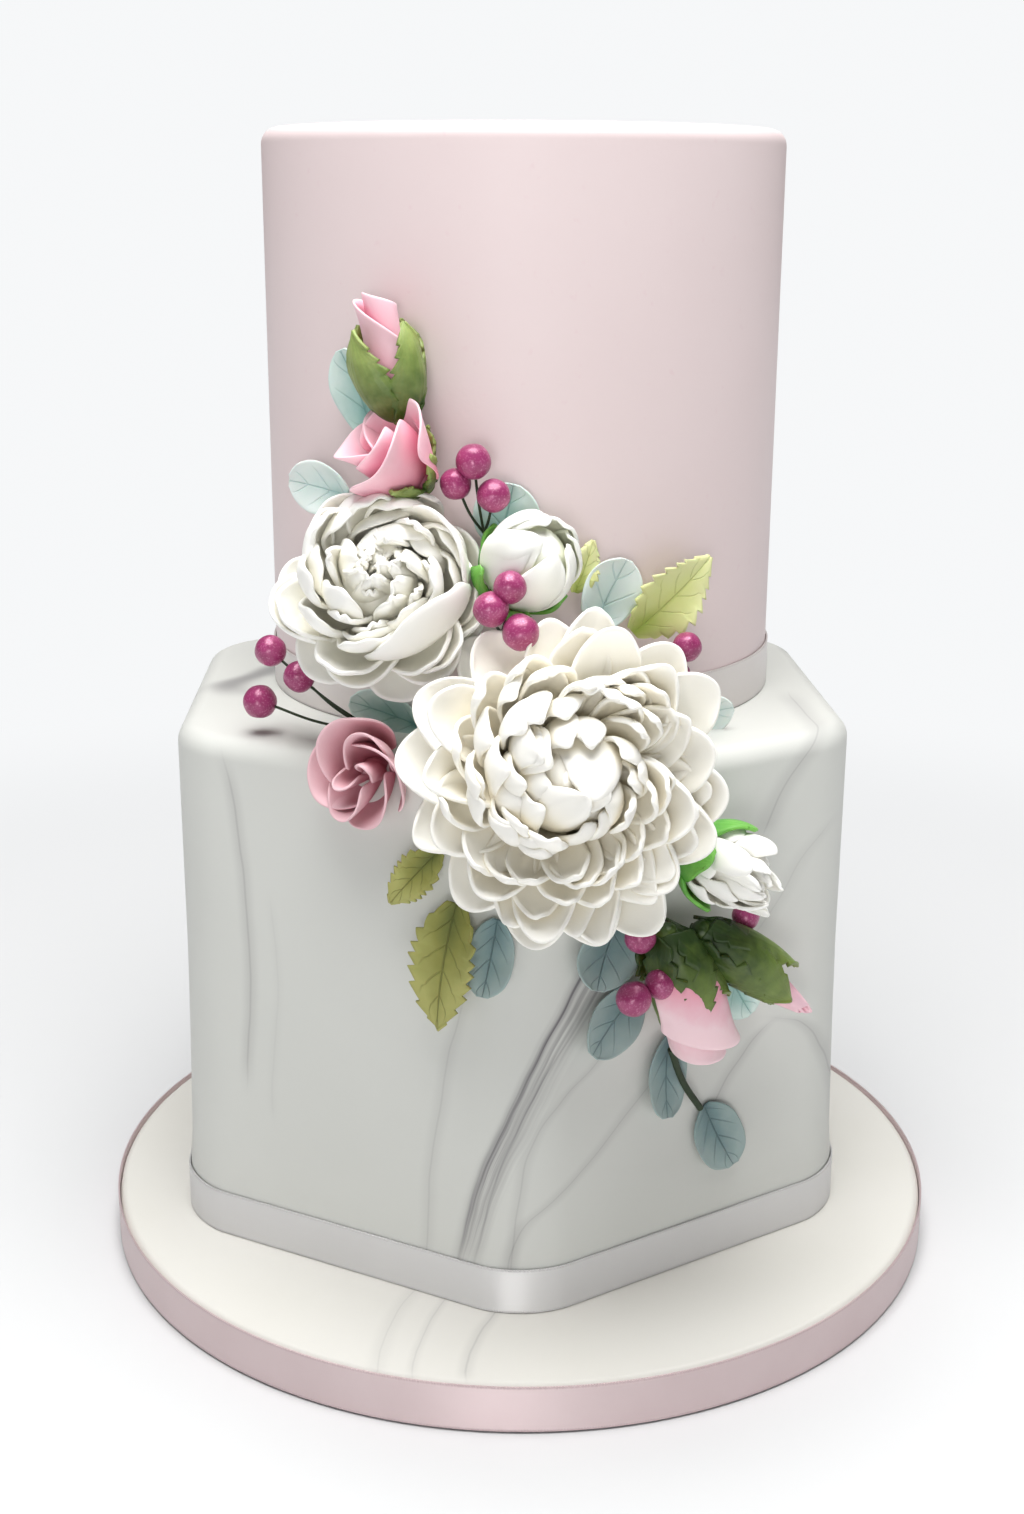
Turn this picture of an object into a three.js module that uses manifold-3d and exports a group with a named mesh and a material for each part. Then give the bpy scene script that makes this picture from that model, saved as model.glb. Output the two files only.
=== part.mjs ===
// A two-tier celebration cake on its iced board, with a spray of sugar flowers.
// Millimetres, +Z up. The origin is the middle of the board's underside, and the front is
// towards -Y.
import * as THREE from "three";
import { mergeVertices } from "three/addons/utils/BufferGeometryUtils.js";
import Module from "manifold-3d";

const wasm = await Module();
wasm.setup();

// Driving sizes of the cake
const GAP = 0.3; // left between touching pieces
const BOARD_R = 151.8; // a 12 inch cake drum
const DRUM_TOP = 12.5;
const BOARD_TOP = 16.4; // over the sugarpaste that covers the drum
const BOARD_EDGE = 3; // round of the paste's rim
const RIBBON_WIDE = 16;
const RIBBON_THICK = 0.6;
const BOARD_RIBBON_Z = 0.5;

const TIERS_X = -3.6; // the tiers and spray stand this far left of the board's middle
const HEX_R = 133.4; // sharp corner of the lower tier
const HEX_FOOT_R = 136; // the same at its foot, where the paste flares
const HEX_ROUND = 30; // round of its upright corners
const HEX_TOP = 199;
const HEX_EDGE = 7; // round of its top edge
const HEX_X = -1.6;
const HEX_Y = 19.2;
const HEX_TURN = 3; // its front corner stands a little right of the middle

const TIER_R = 91; // upper tier, about 7 inches across
const TIER_TOP = 393;
const TIER_EDGE = 5.5;
const TIER_X = 2.8;
const TIER_Y = 34.5;

const PETAL_THICK = 1.1;
const LEAF_THICK = 0.9;
const WIRE_THICK = 0.9;
const FINENESS = 0.06; // detail smaller than this is left out of the modelled pieces

// Colours of the finished pieces
const IVORY = 0xf6f2e4;
const WHITE_PASTE = 0xf4f3ee;
const MARBLE = 0xdcdcd6;
const BLUSH = 0xead9dc;
const SATIN_GREY = 0xd4d2d6;
const SATIN_PINK = 0xdcc2c8;
const SATIN_PALE = 0xe0dadd;
const FOIL = 0xb9bcc0;
const ROSE_PINK = 0xeda0b4;
const DUSKY_PINK = 0xc98f96;
const SEPAL_GREEN = 0x5f7a2e;
const FRESH_GREEN = 0x4f9a35;
const BERRY = 0xa52f63;
const WIRE_GREEN = 0x2c3a22;
const EUCALYPTUS = 0x9fbfbc;
const LIME = 0xc6d472;
const OLIVE = 0x78862f;

const rad = THREE.MathUtils.degToRad;

// A repeatable number from -1 to 1 for petal i of ring k
function uneven(i, k) {
  const wave = Math.sin(i * 12.9898 + k * 78.233) * 43758.5453;
  return 2 * (wave - Math.floor(wave)) - 1;
}

// Solids and geometry

function solidOf(geometry) {
  const bare = geometry.clone();
  bare.deleteAttribute("normal");
  bare.deleteAttribute("uv");
  const merged = mergeVertices(bare, 1e-4);
  return new wasm.Manifold(
    new wasm.Mesh({
      numProp: 3,
      vertProperties: merged.attributes.position.array,
      triVerts: new Uint32Array(merged.index.array),
    }),
  );
}

function geometryOf(solid) {
  const mesh = solid.getMesh();
  const geometry = new THREE.BufferGeometry();
  geometry.setAttribute("position", new THREE.BufferAttribute(mesh.vertProperties, 3));
  geometry.setIndex(new THREE.BufferAttribute(mesh.triVerts, 1));
  geometry.computeVertexNormals();
  return geometry;
}

// The largest body of a solid: scraps and sealed hollows fall away
function mainBody(solid) {
  return solid.decompose().reduce((best, one) => (one.volume() > best.volume() ? one : best));
}

// The solid grown by a gap along its vertex normals, to cut a neighbour with
function swollen(solid, gap) {
  const geometry = geometryOf(solid);
  const { position, normal } = geometry.attributes;
  for (let i = 0; i < position.count; i++)
    position.setXYZ(
      i,
      position.getX(i) + gap * normal.getX(i),
      position.getY(i) + gap * normal.getY(i),
      position.getZ(i) + gap * normal.getZ(i),
    );
  return solidOf(geometry);
}

// A closed solid lofted through rings of points, bottom ring first
function loft(rings) {
  const n = rings[0].length;
  const points = rings.flat();
  const middle = (ring) => ring.reduce((sum, p) => sum.add(p), new THREE.Vector3()).divideScalar(n);
  points.push(middle(rings[0]), middle(rings.at(-1)));
  const faces = [];
  for (let j = 0; j < n; j++) {
    const k = (j + 1) % n;
    for (let i = 0; i < rings.length - 1; i++) {
      const [a, b, c, d] = [i * n + j, i * n + k, (i + 1) * n + k, (i + 1) * n + j];
      faces.push(a, b, c, a, c, d);
    }
    const top = (rings.length - 1) * n;
    faces.push(points.length - 2, k, j, points.length - 1, top + j, top + k);
  }
  return new THREE.BufferGeometry().setFromPoints(points).setIndex(faces);
}

// The tiers, the board and the ribbons

// A hexagon with rounded corners, its front corner turned from -Y
function hexRing(cornerR, round, z) {
  const STEPS = 5;
  const ring = [];
  for (let corner = 0; corner < 6; corner++) {
    const facing = rad(HEX_TURN - 90 + 60 * corner);
    const middle = cornerR - round / Math.cos(rad(30));
    for (let i = 0; i <= STEPS; i++) {
      const a = facing + rad(-30 + (60 * i) / STEPS);
      ring.push(
        new THREE.Vector3(
          middle * Math.cos(facing) + round * Math.cos(a),
          middle * Math.sin(facing) + round * Math.sin(a),
          z,
        ),
      );
    }
  }
  return ring;
}

// The lower tier: its sides draw in a little above a flared foot
function hexTier() {
  const low = BOARD_TOP + GAP;
  const flare = HEX_FOOT_R - HEX_R;
  const rings = [
    hexRing(HEX_FOOT_R, HEX_ROUND, low),
    hexRing(HEX_R + 0.45 * flare, HEX_ROUND, low + 45),
    hexRing(HEX_R, HEX_ROUND, low + 100),
  ];
  for (let turn = 0; turn <= 90; turn += 30) {
    const inset = HEX_EDGE * (1 - Math.cos(rad(turn)));
    const z = HEX_TOP - HEX_EDGE * (1 - Math.sin(rad(turn)));
    rings.push(hexRing(HEX_R - inset / Math.cos(rad(30)), HEX_ROUND - inset, z));
  }
  return loft(rings);
}

function hexRibbon() {
  const inner = HEX_FOOT_R + GAP / Math.cos(rad(30));
  const outer = inner + RIBBON_THICK / Math.cos(rad(30));
  const low = BOARD_TOP + GAP;
  const band = (r, round, rise) =>
    solidOf(loft([hexRing(r, round, low - rise), hexRing(r, round, low + RIBBON_WIDE + rise)]));
  return geometryOf(
    band(outer, HEX_ROUND + GAP + RIBBON_THICK, 0).subtract(band(inner, HEX_ROUND + GAP, 1)),
  );
}

// A round solid turned about Z, with a rounded top edge
function roundTier(radius, low, top, edge, sides, step = 30) {
  const profile = [new THREE.Vector2(0, low), new THREE.Vector2(radius, low)];
  for (let turn = 0; turn <= 90; turn += step)
    profile.push(
      new THREE.Vector2(
        radius - edge * (1 - Math.cos(rad(turn))),
        top - edge * (1 - Math.sin(rad(turn))),
      ),
    );
  profile.push(new THREE.Vector2(0, top));
  return new THREE.LatheGeometry(profile, sides).rotateX(Math.PI / 2);
}

function roundRibbon(radius, low, sides) {
  const profile = [
    [radius, low],
    [radius + RIBBON_THICK, low],
    [radius + RIBBON_THICK, low + RIBBON_WIDE],
    [radius, low + RIBBON_WIDE],
    [radius, low],
  ].map(([r, z]) => new THREE.Vector2(r, z));
  return new THREE.LatheGeometry(profile, sides).rotateX(Math.PI / 2);
}

// Petals, sepals and leaves

// Share of the full width at s, from 0 at the base to 1 at the tip
function breadth(s, { neck, peak, end }) {
  if (s < peak) return neck + (1 - neck) * Math.sin((Math.PI / 2) * (s / peak));
  return 1 - (1 - end) * ((s - peak) / (1 - peak)) ** 2;
}

// A thin closed blade. Its spine starts at radius r and height z in the plane of +X and +Z
// and turns from the angle `from` to `to`; `cup` is how far its cross-section curls inwards,
// `twist` rolls it about the spine, so that petals of a ring overlap like tiles, and `round`
// draws the corners of its tip back.
function blade(form) {
  const { long, wide, from, to, cup, cols = 2, rows = 2, thick = PETAL_THICK } = form;
  const { r = 0, z = 0, teeth = 0, wave = 0, fold = 0, twist = 0, round = 0 } = form;
  const sweep = rad(to - from) || 1e-4;
  const bow = rad(cup) || 1e-4;
  const arc = wide / bow;
  const front = [];
  const back = [];
  for (let j = 0; j <= rows; j++) {
    const notch = j % 2 ? 1 : 1 - teeth;
    const half = (wide / 2) * breadth(j / rows, form) * notch;
    for (let i = 0; i <= cols; i++) {
      const u = (2 * i) / cols - 1;
      const s = (j / rows) * (1 - round * u * u * (j / rows));
      const angle = rad(from) + sweep * s;
      const spineX = r + (long / sweep) * (Math.sin(angle) - Math.sin(rad(from)));
      const spineZ = z - (long / sweep) * (Math.cos(angle) - Math.cos(rad(from)));
      const phi = (u * half) / arc;
      const across = arc * Math.sin(phi);
      const ripple = wave * Math.sin(3 * Math.PI * s + 2 * u) * Math.abs(u);
      const lift = arc * (1 - Math.cos(phi)) + fold * Math.abs(u * half) + ripple;
      const side = (d) => {
        const rise = lift + d * Math.cos(phi);
        const over = across - d * Math.sin(phi);
        const up = rise * Math.cos(rad(twist)) + over * Math.sin(rad(twist));
        return new THREE.Vector3(
          spineX - up * Math.sin(angle),
          over * Math.cos(rad(twist)) - rise * Math.sin(rad(twist)),
          spineZ + up * Math.cos(angle),
        );
      };
      front.push(side(thick / 2));
      back.push(side(-thick / 2));
    }
  }
  const n = (cols + 1) * (rows + 1);
  const faces = [];
  const quad = (a, b, c, d) => faces.push(a, b, c, a, c, d);
  for (let j = 0; j < rows; j++)
    for (let i = 0; i < cols; i++) {
      const a = j * (cols + 1) + i;
      const [b, c, d] = [a + 1, a + cols + 2, a + cols + 1];
      quad(a, d, c, b);
      faces.push(n + a, n + c, n + d, n + a, n + b, n + c);
    }
  const rim = [];
  for (let i = 0; i < cols; i++) rim.push(i);
  for (let j = 0; j < rows; j++) rim.push(j * (cols + 1) + cols);
  for (let i = cols; i > 0; i--) rim.push(rows * (cols + 1) + i);
  for (let j = rows; j > 0; j--) rim.push(j * (cols + 1));
  rim.forEach((a, i) => {
    const b = rim[(i + 1) % rim.length];
    quad(a, b, n + b, n + a);
  });
  return new THREE.BufferGeometry().setFromPoints([...front, ...back]).setIndex(faces);
}

// Rings of petals round the +Z axis
function petalRings(rings) {
  return rings.flatMap((ring, k) =>
    Array.from({ length: ring.count }, (_, i) => {
      const swing = (360 * (i + (ring.start ?? 0))) / ring.count + 5 * uneven(i, k);
      const grown = 1 + 0.07 * uneven(i + 40, k);
      const lean = 5 * uneven(i + 80, k);
      return solidOf(
        blade({
          ...ring,
          long: ring.long * grown,
          from: ring.from + lean,
          to: ring.to + lean,
          twist: (ring.twist ?? 14) + 2 * uneven(i + 120, k),
        }).rotateZ(rad(swing)),
      );
    }),
  );
}

// A turned core with petals fused on
function bloom(core, rings) {
  const profile = core.map(([r, z]) => new THREE.Vector2(r, z));
  const middle = solidOf(new THREE.LatheGeometry(profile, 8).rotateX(Math.PI / 2));
  return mainBody(wasm.Manifold.union([middle, ...petalRings(rings)]));
}

const SPOON = { neck: 0.22, peak: 0.6, end: 0.55, round: 0.09 };
const SHELL = { neck: 0.5, peak: 0.55, end: 0.7, round: 0.1 };
const POINTED = { neck: 0.5, peak: 0.4, end: 0.12 };

// The ivory bloom: wide flat spoons outside, each ring inwards shorter and more curled
function greatBloom() {
  return bloom(
    [[0, -4], [8, -4], [13, 1], [14.5, 10], [14, 20], [11, 29], [5, 34], [0, 35]],
    [
      { ...SPOON, count: 14, long: 43.5, wide: 22, from: -8, to: 24, cup: 50, r: 9, z: 0, twist: 18 },
      {
        ...{ ...SPOON, count: 13, long: 38, wide: 19, from: 6, to: 46 },
        ...{ cup: 60, r: 9, z: 4, start: 0.5, twist: 17 },
      },
      { ...SPOON, count: 12, long: 31, wide: 16, from: 22, to: 72, cup: 70, r: 10, z: 8 },
      { ...SPOON, count: 11, long: 25, wide: 13, from: 40, to: 112, cup: 70, r: 12, z: 11, rows: 3 },
      { ...SPOON, count: 9, long: 22, wide: 12, from: 55, to: 140, cup: 70, r: 12, z: 15, start: 0.5 },
    ],
  );
}

// The white bloom: few large cupped petals round a crowded middle
function roundBloom() {
  return bloom(
    [[0, -5], [6, -5], [11, 2], [14, 10], [12, 19], [7, 25], [0, 27]],
    [
      { ...SHELL, count: 6, long: 35, wide: 29, from: 0, to: 66, cup: 80, r: 5, z: -2, cols: 3 },
      { ...SHELL, count: 6, long: 31, wide: 23, from: 20, to: 96, cup: 80, r: 6, z: 2, start: 0.5, rows: 3 },
      { ...SHELL, count: 7, long: 24, wide: 14, from: 45, to: 112, cup: 70, r: 10, z: 6 },
      { ...SHELL, count: 5, long: 19, wide: 11, from: 60, to: 130, cup: 60, r: 9, z: 11, start: 0.5 },
    ],
  );
}

// A shut white bud of overlapping petals
function shutBud() {
  const wrap = { ...SHELL, count: 4, long: 35, wide: 21, from: 12, to: 150, cup: 80, thick: 2.4 };
  return bloom(
    [[0, -13], [7, -11.5], [12, -7], [13, 0], [11, 7], [6, 12], [0, 13]],
    [{ ...wrap, r: 3, z: -13, twist: 9, rows: 4 }],
  );
}

// A white bud about to open, its petals lying loosely along it
function openingBud() {
  return bloom(
    [[0, -3], [5, -2], [8, 5], [8, 13], [5, 20], [0, 23]],
    [
      { ...SHELL, count: 5, long: 31, wide: 15, from: 36, to: 118, cup: 80, r: 3, z: -1, rows: 3 },
      { ...SHELL, count: 4, long: 26, wide: 10, from: 60, to: 118, cup: 70, r: 5, z: 3, start: 0.5 },
    ],
  );
}

// A wired pink rose: petals wrapped round a cone
function rose({ count, long, wide, from, to }) {
  const girth = wide / 4;
  const petal = { ...SHELL, count, long, wide, from, to, cup: 330 / count, r: 2.5, cols: 3 };
  const heart = { ...SHELL, count: 2, long: 0.97 * long, wide: 0.6 * wide, r: 1.5, z: 2, start: 0.3 };
  return bloom(
    [[0, -3], [3, -2], [girth, 0.35 * long], [0.8 * girth, 0.7 * long], [0, 0.85 * long]],
    [petal, { ...heart, from: from + 12, to: to + 6, cup: 130 }],
  );
}

// Green sepals that hug a bud from its base
function sepals({ count, long, wide, from, to, r = 3, z = -3 }) {
  const sepal = { ...POINTED, count, long, wide, from, to, r, z, cup: 60, thick: 1.4, twist: 4 };
  return bloom([[0, z - 3], [3, z - 2.5], [4.5, z], [3, z + 2], [0, z + 2.5]], [sepal]);
}

// A nearly round sugar berry with a pinched end
function berry(radius) {
  const geometry = new THREE.SphereGeometry(radius, 8, 5).rotateX(Math.PI / 2);
  const { position } = geometry.attributes;
  for (let i = 0; i < position.count; i++) {
    const rise = position.getZ(i) / radius;
    position.setZ(i, position.getZ(i) * (rise < 0 ? 1.06 : 0.94));
  }
  return solidOf(geometry);
}

// A wire through three points
function wire(points, thick = WIRE_THICK) {
  const curve = new THREE.CatmullRomCurve3(points.map((p) => new THREE.Vector3(...p)));
  const section = new THREE.Shape();
  const SIDES = 4;
  for (let i = 0; i < SIDES; i++) {
    const a = (2 * Math.PI * i) / SIDES;
    section[i ? "lineTo" : "moveTo"]((thick / 2) * Math.cos(a), (thick / 2) * Math.sin(a));
  }
  return solidOf(
    new THREE.ExtrudeGeometry(section, { extrudePath: curve, steps: 3, bevelEnabled: false }),
  );
}

const OVAL = { neck: 0.22, peak: 0.5, end: 0.45, round: 0.12 };
const TOOTHED = { neck: 0.3, peak: 0.38, end: 0.08 };

// A round grey-green leaf with a slight fold along its rib
function eucalyptusLeaf({ long, wide, bend = 20 }) {
  const curve = { long, wide, from: -bend / 2, to: bend / 2, cup: 25 };
  return solidOf(
    blade({ ...OVAL, ...curve, rows: 5, wave: 0.5, fold: 0.06, thick: LEAF_THICK }),
  );
}

// A saw-edged leaf
function toothedLeaf({ long, wide, bend = 30 }) {
  const curve = { long, wide, from: bend / 2, to: -bend / 2, cup: 20 };
  return solidOf(
    blade({ ...TOOTHED, ...curve, rows: 9, teeth: 0.15, wave: 0.6, fold: 0.12, thick: LEAF_THICK }),
  );
}

// Setting the pieces in place

// The cake's front at a place across and a height: a point on it and the way that it faces
function frontAt(x, z) {
  if (z > HEX_TOP) {
    const y = TIER_Y - Math.sqrt(TIER_R ** 2 - (x - TIER_X) ** 2);
    return { y, out: new THREE.Vector3(x - TIER_X, y - TIER_Y, 0).normalize() };
  }
  const corner = rad(HEX_TURN - 90);
  const middle = HEX_R - HEX_ROUND / Math.cos(rad(30));
  const dx = x - HEX_X - middle * Math.cos(corner);
  if (Math.abs(dx) < HEX_ROUND / 2) {
    const dy = -Math.sqrt(HEX_ROUND ** 2 - dx ** 2);
    return {
      y: HEX_Y + middle * Math.sin(corner) + dy,
      out: new THREE.Vector3(dx, dy, 0).normalize(),
    };
  }
  const side = corner + Math.sign(dx) * rad(30);
  const apothem = HEX_R * Math.cos(rad(30));
  return {
    y: HEX_Y + (apothem - Math.cos(side) * (x - HEX_X)) / Math.sin(side),
    out: new THREE.Vector3(Math.cos(side), Math.sin(side), 0),
  };
}

const stand = new THREE.Group();
const cake = new THREE.Group(); // the tiers and the spray on them
cake.position.x = TIERS_X;
stand.add(cake);

const placed = []; // the solids that the spray's pieces keep clear of, in the cake's frame

// Adds a finished solid. Its neighbours are cut by it grown by the gap, or by the convex
// shape round that where `shut`, as round a bud that other pieces hug.
function add(name, world, colour, matrix, roughness = 0.6, shut = false) {
  let cutter;
  const grown = () => {
    const larger = swollen(world, 2 * GAP);
    return shut ? larger.hull() : larger.add(world);
  };
  placed.push({ solid: world, cutter: () => (cutter ??= grown()) });
  const mesh = new THREE.Mesh(
    geometryOf(world.transform(matrix.clone().invert().elements)),
    new THREE.MeshStandardMaterial({ color: colour, roughness, metalness: 0 }),
  );
  mesh.name = name;
  matrix.decompose(mesh.position, mesh.quaternion, mesh.scale);
  cake.add(mesh);
}

// Adds a piece of the spray, cut back a gap from what already stands there
function place(name, solid, colour, matrix, roughness, shut) {
  let world = solid.transform(matrix.elements);
  for (const other of placed) {
    if (world.intersect(other.cutter()).volume() > 1e-6) world = world.subtract(other.cutter());
  }
  add(name, mainBody(world.simplify(FINENESS)), colour, matrix, roughness, shut);
}

const at = (x, y, z) => new THREE.Matrix4().makeTranslation(x, y, z);

// Stands +Z along `facing` at a point, turned about it
function facing(point, direction, turn = 0) {
  const axis = new THREE.Vector3(...direction).normalize();
  const tilt = new THREE.Quaternion().setFromUnitVectors(new THREE.Vector3(0, 0, 1), axis);
  const spin = new THREE.Quaternion().setFromAxisAngle(new THREE.Vector3(0, 0, 1), rad(turn));
  return new THREE.Matrix4().compose(
    new THREE.Vector3(...point),
    tilt.multiply(spin),
    new THREE.Vector3(1, 1, 1),
  );
}

// Lays a leaf on the cake: its base at x and z, `clear` off the surface, its tip towards
// `bearing` (0 is to the right, 90 up), and tipped out from the surface by `lift`
function lyingAt({ x, z, clear, bearing, lift = 0 }) {
  const { y, out } = frontAt(x, z);
  const along = new THREE.Vector3(0, 0, 1)
    .cross(out)
    .multiplyScalar(Math.cos(rad(bearing)))
    .add(new THREE.Vector3(0, 0, Math.sin(rad(bearing))));
  const tipped = along.multiplyScalar(Math.cos(rad(lift))).addScaledVector(out, Math.sin(rad(lift)));
  const up = out.clone().addScaledVector(tipped, -out.dot(tipped)).normalize();
  const side = up.clone().cross(tipped);
  const spot = new THREE.Vector3(x, y, z).addScaledVector(out, clear);
  return new THREE.Matrix4().makeBasis(tipped, side, up).setPosition(spot);
}

// The board stands under the origin, so its pieces are set in the outer group
const board = (name, geometry, colour, roughness) => {
  const mesh = new THREE.Mesh(
    geometryOf(solidOf(geometry)),
    new THREE.MeshStandardMaterial({ color: colour, roughness, metalness: 0 }),
  );
  mesh.name = name;
  stand.add(mesh);
};
board("board", roundTier(BOARD_R, 0, DRUM_TOP, 0.6, 48, 90), FOIL, 0.4);
const paste = roundTier(BOARD_R, DRUM_TOP + GAP, BOARD_TOP, BOARD_EDGE, 48, 45);
board("board_icing", paste, WHITE_PASTE, 0.6);
board("board_ribbon", roundRibbon(BOARD_R + GAP, BOARD_RIBBON_Z, 48), SATIN_PINK, 0.35);

const hexAt = at(HEX_X, HEX_Y, 0);
add("lower_tier", solidOf(hexTier()).transform(hexAt.elements), MARBLE, hexAt);
add("lower_ribbon", solidOf(hexRibbon()).transform(hexAt.elements), SATIN_GREY, hexAt, 0.35);
const upperAt = at(TIER_X, TIER_Y, 0);
const drum = solidOf(roundTier(TIER_R, HEX_TOP + GAP, TIER_TOP, TIER_EDGE, 40));
add("upper_tier", drum.transform(upperAt.elements), BLUSH, upperAt);
const pale = solidOf(roundRibbon(TIER_R + GAP, HEX_TOP + GAP, 40));
add("upper_ribbon", pale.transform(upperAt.elements), SATIN_PALE, upperAt, 0.35);

// The flowers, nearest the eye first
place("great_bloom", greatBloom(), IVORY, facing([15.5, -113, 202], [0, -0.957, 0.29]));
const ROUND_AT = [-41, -62, 249];
const ROUND_FACE = [0, -0.89, 0.45];
place("round_bloom", roundBloom(), WHITE_PASTE, facing(ROUND_AT, ROUND_FACE, 20));
const SHUT = facing([5, -78, 261], [0.55, -0.5, 0.67]);
place("shut_bud", shutBud(), WHITE_PASTE, SHUT, 0.6, true);
const OPENING = facing([59, -92, 172], [0.75, -0.6, -0.27]);
place("opening_bud", openingBud(), WHITE_PASTE, OPENING, 0.6, true);

// Pink roses and their sepals
const ROSES = [
  {
    name: "tall_rosebud",
    spot: facing([-35, -62, 306], [-0.22, 0.15, 1]),
    form: { count: 3, long: 38, wide: 12, from: 72, to: 102 },
    green: { count: 5, long: 27, wide: 13, from: 38, to: 108, r: 2 },
  },
  {
    name: "half_open_rose",
    spot: facing([-29, -68, 283], [-0.6, -0.35, 0.7], 30),
    form: { count: 3, long: 25, wide: 24, from: 45, to: 76 },
    green: { count: 5, long: 15, wide: 6, from: 30, to: 68 },
  },
  {
    name: "side_rose",
    spot: facing([-41, -84, 197], [-0.45, -0.88, 0.05]),
    form: { count: 4, long: 22, wide: 21, from: 28, to: 84 },
    colour: DUSKY_PINK,
  },
  {
    name: "hanging_rose",
    spot: facing([50, -104, 147], [0.29, 0.2, -0.94], 60),
    form: { count: 3, long: 50, wide: 22, from: 66, to: 86 },
    green: { count: 4, long: 31, wide: 20, from: 48, to: 90 },
  },
  {
    name: "right_rosebud",
    spot: facing([62, -100, 147], [0.64, 0.43, -0.64]),
    form: { count: 3, long: 56, wide: 17, from: 70, to: 94 },
    green: { count: 4, long: 46, wide: 19, from: 60, to: 96 },
  },
];
for (const { name, spot, form, green, colour = ROSE_PINK } of ROSES) {
  place(name, rose(form), colour, spot, 0.6, true);
  if (green) place(`${name}_sepals`, sepals(green), SEPAL_GREEN, spot);
}
const CALYX = { count: 4, long: 20, wide: 14, from: 30, to: 82 };
place("opening_bud_sepals", sepals(CALYX), FRESH_GREEN, OPENING);
const CUP = { count: 5, long: 21, wide: 12, from: 8, to: 92, r: 4, z: -16.5 };
place("shut_bud_sepals", sepals(CUP), FRESH_GREEN, SHUT);
const COLLAR = { count: 1, long: 36, wide: 13, from: 0, to: 30, r: 4, z: -9 };
place("round_bloom_sepal", sepals(COLLAR), FRESH_GREEN, facing(ROUND_AT, ROUND_FACE, -65));

// Sugar berries on wires: each cluster's wires meet behind the flowers
const BERRIES = [
  {
    name: "top",
    meet: [-9, -62, 268],
    at: [
      [-12, -70, 291.5, 5.6],
      [-17.6, -69, 284.6, 5],
      [-5.7, -71, 281.4, 5.3],
    ],
  },
  {
    name: "middle",
    meet: [-3, -72, 238],
    at: [
      [-0.3, -95, 257, 5.1],
      [-6, -96, 250.5, 5.5],
      [3, -98, 244, 5.7],
    ],
  },
  {
    name: "left",
    meet: [-44, -66, 203],
    at: [
      [-79, -55.4, 227.4, 5.2],
      [-69, -62, 220.5, 5.2],
      [-83.2, -54, 210, 5.6],
    ],
  },
  {
    name: "right",
    meet: [50, -62, 214],
    at: [
      [57, -60, 230.6, 4.9],
      [54, -61, 222, 4.3],
    ],
  },
  {
    name: "low",
    meet: [52, -98, 141],
    at: [
      [41, -108, 148.5, 5],
      [47.6, -110, 134, 5],
      [39, -114.8, 131, 5.6],
    ],
  },
  {
    name: "far",
    meet: [66, -88, 152],
    at: [
      [76.7, -84, 146.7, 4.6],
    ],
  },
];
for (const { name, at: spots } of BERRIES)
  spots.forEach(([x, y, z, r], i) => {
    const hung = facing([x, y, z], [0.3, 0.5, -0.6 + 0.4 * i]);
    place(`berry_${name}_${i + 1}`, berry(r), BERRY, hung, 0.35, true);
  });
for (const { name, meet, at: spots } of BERRIES.slice(0, 5)) {
  const wires = spots.map(([x, y, z]) => {
    const half = [(x + meet[0]) / 2, (y + meet[1]) / 2 - 1, (z + meet[2]) / 2 - 1.5];
    return wire([[x, y, z], half, meet]);
  });
  const knot = solidOf(new THREE.SphereGeometry(1.4, 6, 4)).translate(meet);
  place(`wires_${name}`, wasm.Manifold.union([knot, ...wires]), WIRE_GREEN, at(0, 0, 0));
}

// The bare stem that the lowest leaf hangs from
place("stem", wire([[53, -92, 103], [58, -86, 88], [64.5, -81, 76]], 2.4), WIRE_GREEN, at(0, 0, 0));

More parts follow.
